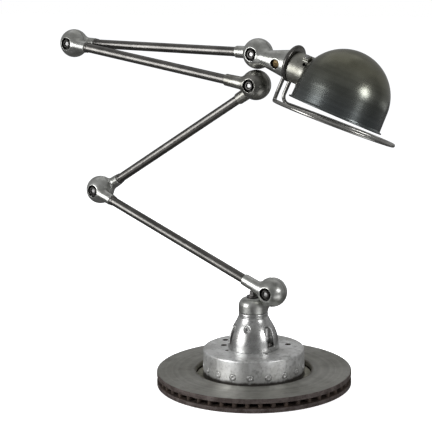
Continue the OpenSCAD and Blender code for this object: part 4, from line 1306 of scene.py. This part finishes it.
# the outside stands higher than the bore
outside = np.hypot(collar[0][:, 0], collar[0][:, 1]) > (spigot_r + collar_r - collar_round) / 2
collar[0][outside, 0] -= collar_rise
collar = moved(collar, shift(collar_x, 0, 0) @ along_x)
handled = metal(
    "handled_steel",
    clean=(0.44, 0.435, 0.415), tarnish=(0.30, 0.295, 0.28), dirt=(0.05, 0.044, 0.036),
    scale=30, smooth=0.24, rough=0.28, hollow_dirt=0.7, edge_wear=0.5, smudge=0.2, relief=0.03,
)
blacked = metal(
    "blacked_collar",
    clean=(0.19, 0.185, 0.175), tarnish=(0.11, 0.107, 0.10), dirt=(0.035, 0.03, 0.025),
    scale=30, smooth=0.30, rough=0.36, hollow_dirt=0.7, edge_wear=0.5, smudge=0.25, relief=0.05,
)
on_reflector = on_head @ spin(shade_roll, "X")
rod = swept(guard_path(), rod_r)
guard_place = on_reflector @ spin(guard_turn, "X")
guard = piece("guard", joined(rod, collar), handled, "reflector", guard_place)
guard.data.materials.append(blacked)
for face in guard.data.polygons:
    face.material_index = 1 if face.index >= len(rod[1]) else 0

# Lampholder cover.
# A short aluminium barrel with a spigot in the bracket. Three square lugs at its open end carry the
# clamp screws, each with a small hole beside it.
cover_r, cover_x, pad_x, cover_wall, cover_plate, wire_r = 25.5, 73.4, 104.4, 2.0, 3.0, 10.0
lug_w, lug_rise, lug_root, lug_edge, lug_turn, lug_hole = 11.0, 5.0, 2.0, 1.0, 45.0, 2.5
eye_turn, eye_r, eye_back = 25.0, 3.0, 4.0
tip_groove_half, tip_groove_r, slot_turn = 3.5, 12.0, 35.0
lug_turns = [lug_turn + 120 * k for k in range(3)]


def cover_field(x, y, z):
    r = np.hypot(y, z)
    form = soft_max(r - cover_r, np.maximum(cover_x - x, x - pad_x), 2.0)
    for turn in lug_turns:
        across, out = turned_to(y, z, turn)
        dx = np.abs(x - pad_x + lug_w / 2) - lug_w / 2 + lug_edge
        dy = np.abs(across) - lug_w / 2 + lug_edge
        dz = np.abs(out - cover_r - (lug_rise - lug_root) / 2) - (lug_rise + lug_root) / 2 + lug_edge
        outer = np.sqrt(np.maximum(dx, 0) ** 2 + np.maximum(dy, 0) ** 2 + np.maximum(dz, 0) ** 2)
        block = outer - lug_edge + np.minimum(np.maximum(dx, np.maximum(dy, dz)), 0)
        form = soft_min(form, block, 2.2)
    form = np.maximum(form, x - pad_x)
    spigot = np.maximum(r - spigot_r, np.maximum(bracket_len - spigot_len - x, x - cover_x - 1))
    form = soft_min(form, spigot, 0.4)
    form = soft_max(form, -np.maximum(r - cover_r + cover_wall, cover_x + cover_plate - x), 0.5)
    form = np.maximum(form, wire_r - r)
    from_tip = np.abs(x - bracket_len + screw_back)
    form = np.maximum(form, -np.maximum(from_tip - tip_groove_half, tip_groove_r - r))
    for turn in lug_turns:
        for by, hole, back_by in ((0, lug_hole, lug_w / 2), (eye_turn, eye_r, eye_back)):
            across, out = turned_to(y, z, turn + by)
            form = soft_max(form, -np.maximum(np.hypot(x - pad_x + back_by, across) - hole, -out), 0.6)
    return form


barrel = metal(
    "barrel_aluminium",
    clean=(0.36, 0.358, 0.325), tarnish=(0.25, 0.247, 0.215), dirt=(0.06, 0.054, 0.044),
    scale=60, smooth=0.36, rough=0.44, hollow_dirt=0.85, edge_wear=0.6, smudge=0.25, relief=0.35,
)
cover_form = cast_form(cover_field, (43, -32, -32), (pad_x, 32, 32), 0.8)
piece("holder_cover", cover_form, barrel, "reflector", on_reflector)
clamp_form = slotted_screw(head=4.0, height=2.0, shank=2.5, length=7.0, slot=1.1, slot_h=1.0, step=0.3)
on_lug = shift(pad_x - lug_w / 2, 0, cover_r + lug_rise) @ spin(slot_turn, "Z")
clamps = joined(*(moved(clamp_form, spin(turn, "X") @ on_lug) for turn in lug_turns))
piece("clamp_screws", clamps, bare_steel, "reflector", on_reflector)

# Lampholder.
# A moulded black body in the cover, with a brass shell for the bulb's thread. A black ring screwed on
# from inside clamps the shade against the cover.
holder_low, holder_top, holder_r, holder_foot_r, holder_foot_h = 76.5, 118.4, 19.95, 23.4, 3.9
well_r, well_floor, shell_gap, shell_wall, shell_top = 14.2, 85.4, 0.05, 1.1, 116.4
clamp_low, clamp_top, clamp_in, clamp_out, clamp_start = 105.65, 110.6, 20.05, 24.5, 22.0
on_axis = on_reflector @ along_x
moulded = stuff(
    "moulded_black",
    dark=(0.014, 0.012, 0.011), pale=(0.035, 0.03, 0.026),
    scale=90, detail=5.0, low=0.35, high=0.7, smooth=0.28, rough=0.5,
)
holder_profile = rounded(
    [
        (0, holder_low),
        (holder_foot_r, holder_low, 0.4),
        (holder_foot_r, holder_low + holder_foot_h, 0.6),
        (holder_r, holder_low + holder_foot_h, 1),
        (holder_r, holder_top, 1.2),
        (well_r, holder_top, 0.8),
        (well_r, well_floor, 0.3),
        (0, well_floor),
    ],
    3,
)
piece("lampholder", turned(holder_profile, 64), moulded, "reflector", on_axis)
shell_r, shell_low, shell_floor = well_r - shell_gap, well_floor + shell_gap, well_floor + 2
shell_profile = rounded(
    [
        (0, shell_low),
        (shell_r, shell_low, 0.4),
        (shell_r, shell_top, 0.4),
        (shell_r - shell_wall, shell_top, 0.3),
        (shell_r - shell_wall, shell_floor, 0.3),
        (0, shell_floor),
    ],
    3,
)
piece("holder_shell", turned(shell_profile, 64), brass, "reflector", on_axis)
clamp_profile = closed_profile(
    (clamp_start, clamp_low),
    [
        (clamp_out, clamp_low, 0.6),
        (clamp_out, clamp_top, 1.2),
        (clamp_in, clamp_top, 0.8),
        (clamp_in, clamp_low, 0.4),
    ],
)
piece("clamp_ring", turned(clamp_profile, 64, True), moulded, "reflector", on_axis)

# Shade.
# Thin steel spun over a former into a dome with a short skirt and a rolled rim. It is bare and dark,
# waxed, with a painted reflection that is warm on top and cool below, and the spinning left fine lines
# round it. A flat pad on its side carries it.
shade_r, skirt_h, skirt_flare, shade_wall, rim_r, lip_w, rim_lap = 75.0, 32.0, 1.0, 1.2, 1.3, 3.2, 6.0
shade_drop, pad_r, seat_r, seat_x, seat_slope, holder_hole = 14.0, 26.0, 33.5, 69.3, 0.8, 20.2
columns, rows, crowding = 264, 104, 0.4


def shade_field(x, y, z):
    """Solid of the shade about its dome's centre, with the seat of the cover towards -x."""
    dome_part = np.sqrt(x * x + y * y + z * z) - shade_r
    skirt = np.hypot(x, y) - shade_r + skirt_flare * z / skirt_h
    form = np.where(z > 0, dome_part, skirt)
    off = np.hypot(y, z - shade_drop)
    # the side of the seat slopes, as in a pressed sheet
    seat_side = (off - seat_r + seat_slope * (x + seat_x)) / math.hypot(1, seat_slope)
    form = soft_max(form, -np.maximum(seat_side, x + seat_x), 2.5)
    pad = soft_max(off - pad_r, np.maximum(-x - seat_x, x), 1.2)
    return soft_min(form, pad, 5.0)


def shade_sheet():
    """Sheet of the shade: rays from the dome's centre are followed to the solid's surface."""
    turns = np.linspace(0, 2 * math.pi, columns, endpoint=False)
    # the columns crowd together on the side of the seat
    turns = turns + crowding * np.sin(turns)
    low_end = -math.atan2(skirt_h - rim_r, shade_r + skirt_flare)
    lifts = np.linspace(low_end, math.pi / 2, rows)[:, None]
    around = [np.cos(lifts) * np.cos(turns), np.cos(lifts) * np.sin(turns)]
    rays = np.stack(around + [np.repeat(np.sin(lifts), columns, 1)], -1).reshape(-1, 3)
    near, far = np.full(len(rays), 55.0), np.full(len(rays), 100.0)
    for _ in range(40):
        mid = (near + far) / 2
        out = shade_field(*(rays * mid[:, None]).T) > 0
        far, near = np.where(out, mid, far), np.where(out, near, mid)
    skin = rays * ((near + far) / 2)[:, None]
    normal = slope_of(shade_field, skin, 0.01)
    normal /= np.linalg.norm(normal, axis=1)[:, None]
    from_hole = np.hypot(skin[:, 1], skin[:, 2] - shade_drop)
    in_hole = (from_hole < holder_hole) & (skin[:, 0] < -60)
    grid = np.arange(rows * columns).reshape(rows, columns)
    outer = []
    for i in range(rows - 1):
        for k in range(columns):
            n = (k + 1) % columns
            quad = [grid[i, k], grid[i, n], grid[i + 1, n], grid[i + 1, k]]
            if i == rows - 2:
                quad = [grid[i, k], grid[i, n], grid[rows - 1, 0]]
            if sum(in_hole[v] for v in quad) < 2:
                outer.append(quad)
    count = len(skin)
    inner = [[v + count for v in reversed(face)] for face in outer]
    edges = dict.fromkeys((a, b) for face in outer for a, b in zip(face, face[1:] + face[:1]))
    open_edges = [(a, b) for a, b in edges if (b, a) not in edges]
    walls = [[b, a, a + count, b + count] for a, b in open_edges]
    points = np.concatenate([skin, skin - shade_wall * normal])
    # the cut edge of the hole is drawn out to a true circle
    on_hole = np.zeros(count, bool)
    for a, b in open_edges:
        if a >= columns and b >= columns:
            on_hole[[a, b]] = True
    for first in (0, count):
        part = points[first : first + count]
        off = np.stack([part[on_hole, 1], part[on_hole, 2] - shade_drop], 1)
        off *= holder_hole / np.linalg.norm(off, axis=1)[:, None]
        part[on_hole, 1], part[on_hole, 2] = off[:, 0], off[:, 1] + shade_drop
    used = sorted({v for face in outer + inner for v in face})
    place_of = {v: i for i, v in enumerate(used)}
    return points[used], [[place_of[v] for v in face] for face in outer + inner + walls]


def tint_the_shade(material):
    """Lines from the spinning, broad soft bands, and a painted reflection that is cool below and warm on
    top.
    """
    cool_reflection, warm_reflection = (0.86, 0.94, 1, 1), (1, 0.99, 0.80, 1)
    tree, shader, age = nodes_of(material)
    upright = tree.nodes.new("ShaderNodeAttribute")
    upright.attribute_name = "own_place"
    place = upright.outputs["Vector"]
    add_lathe_lines(material, place, fineness=500, depth=0.8, change=0.008)
    # painted reflection: warm from above, cool from below
    reflection_and_bands = tint(tree, ramp(tree, height_of(tree, place), -20 * MM, 50 * MM), cool_reflection, warm_reflection)
    bands = ramp(tree, lathe_line(tree, place, 130), 0.32, 0.68, 0.90, 1.10)
    reflection_and_bands = tint(tree, 1.0, reflection_and_bands, bands, "MULTIPLY")
    tree.links.new(tint(tree, 1.0, age.outputs["Color"], reflection_and_bands, "MULTIPLY"), shader.inputs["Base Color"])


rim_out, rim_start, rim_top = shade_r + skirt_flare, 0.5, 2 * rim_r - skirt_h
rim_profile = closed_profile(
    (rim_out - rim_start, -skirt_h),
    [
        (rim_out + lip_w, -skirt_h, rim_r),
        (rim_out + lip_w, rim_top, rim_r),
        (rim_out + 0.1, rim_top, 1.2),
        (rim_out - 0.3, rim_lap - skirt_h, 0.1),
        (rim_out - shade_wall + 0.1, rim_lap - skirt_h, 0.1),
        (rim_out - shade_wall, -skirt_h, 0.4),
    ],
    5,
)
spun = metal(
    "spun_gunmetal",
    clean=(0.225, 0.225, 0.215), tarnish=(0.155, 0.155, 0.145), dirt=(0.06, 0.052, 0.042),
    scale=13, smooth=0.265, rough=0.29, hollow_dirt=0.5, edge_wear=0.3, smudge=0.1, relief=0.03,
)
tint_the_shade(spun)
shade_form = joined(shade_sheet(), turned(rim_profile, 192, True))
shade_place = on_reflector @ shift(pad_x + seat_x, 0, -shade_drop)
shade = piece("shade", shade_form, spun, "reflector", shade_place)
own_place = shade.data.attributes.new("own_place", "FLOAT_VECTOR", "POINT")
own_place.data.foreach_set("vector", (shade_form[0] * MM).ravel())

# Bulb.
# A pear-shaped lamp, frosted inside, with a threaded brass cap that screws into the lampholder.
cap_low, cap_end, cap_r = 92.4, 116.4, 12.9
thread_low, thread_top, thread_pitch, thread_mid, thread_h = 95.4, 114.01, 3.6, 12.55, 0.45
bulb_r, bulb_h, glass_wall, neck_h, neck_turn = 30.0, 78.0, 1.0, 4.0, math.radians(25)
thread = []
for x in np.arange(thread_low, thread_top, 0.45):
    wave = math.cos((x - thread_low) / thread_pitch * 2 * math.pi)
    thread.append((thread_mid + thread_h * wave, x))
cap_foot = [(0, cap_low), (4.5, cap_low), (5.2, cap_low + 0.8), (9.5, cap_low + 2)]
cap_profile = cap_foot + thread + [(cap_r, cap_end - 1.8), (cap_r, cap_end), (0, cap_end)]
piece("bulb_cap", turned(cap_profile, 64), brass, "reflector", on_axis)
glass = stuff(
    "frosted_glass",
    dark=(0.92, 0.92, 0.90), pale=(0.97, 0.97, 0.96),
    scale=400, detail=4.0, low=0.35, high=0.65, smooth=0.35, rough=0.5,
)
pane = glass.node_tree.nodes["Principled BSDF"]
pane.inputs["Transmission Weight"].default_value = 0.7
pane.inputs["IOR"].default_value = 1.45


def bulb_line(drawn_in):
    """Half outline of the bulb, drawn in by a wall."""
    r, mid, neck = bulb_r - drawn_in, bulb_h - bulb_r, cap_r - drawn_in
    joint_r, joint_z = r * math.cos(neck_turn), mid - r * math.sin(neck_turn)
    line = [(neck, 0), (neck, neck_h)]
    for s in np.linspace(0.15, 0.92, 12):
        swell = 0.45 * s + 0.55 * s * s * (3 - 2 * s)
        line.append((neck + (joint_r - neck) * swell, neck_h + (joint_z - neck_h) * s))
    for w in np.linspace(-neck_turn, math.pi / 2, 40):
        line.append((r * math.cos(w), mid + r * math.sin(w)))
    return line


bulb = bulb_line(0) + list(reversed(bulb_line(glass_wall)))
bulb = [(r, z + cap_end) for r, z in bulb]
piece("bulb_glass", turned(bulb, 72, True), glass, "reflector", on_axis)
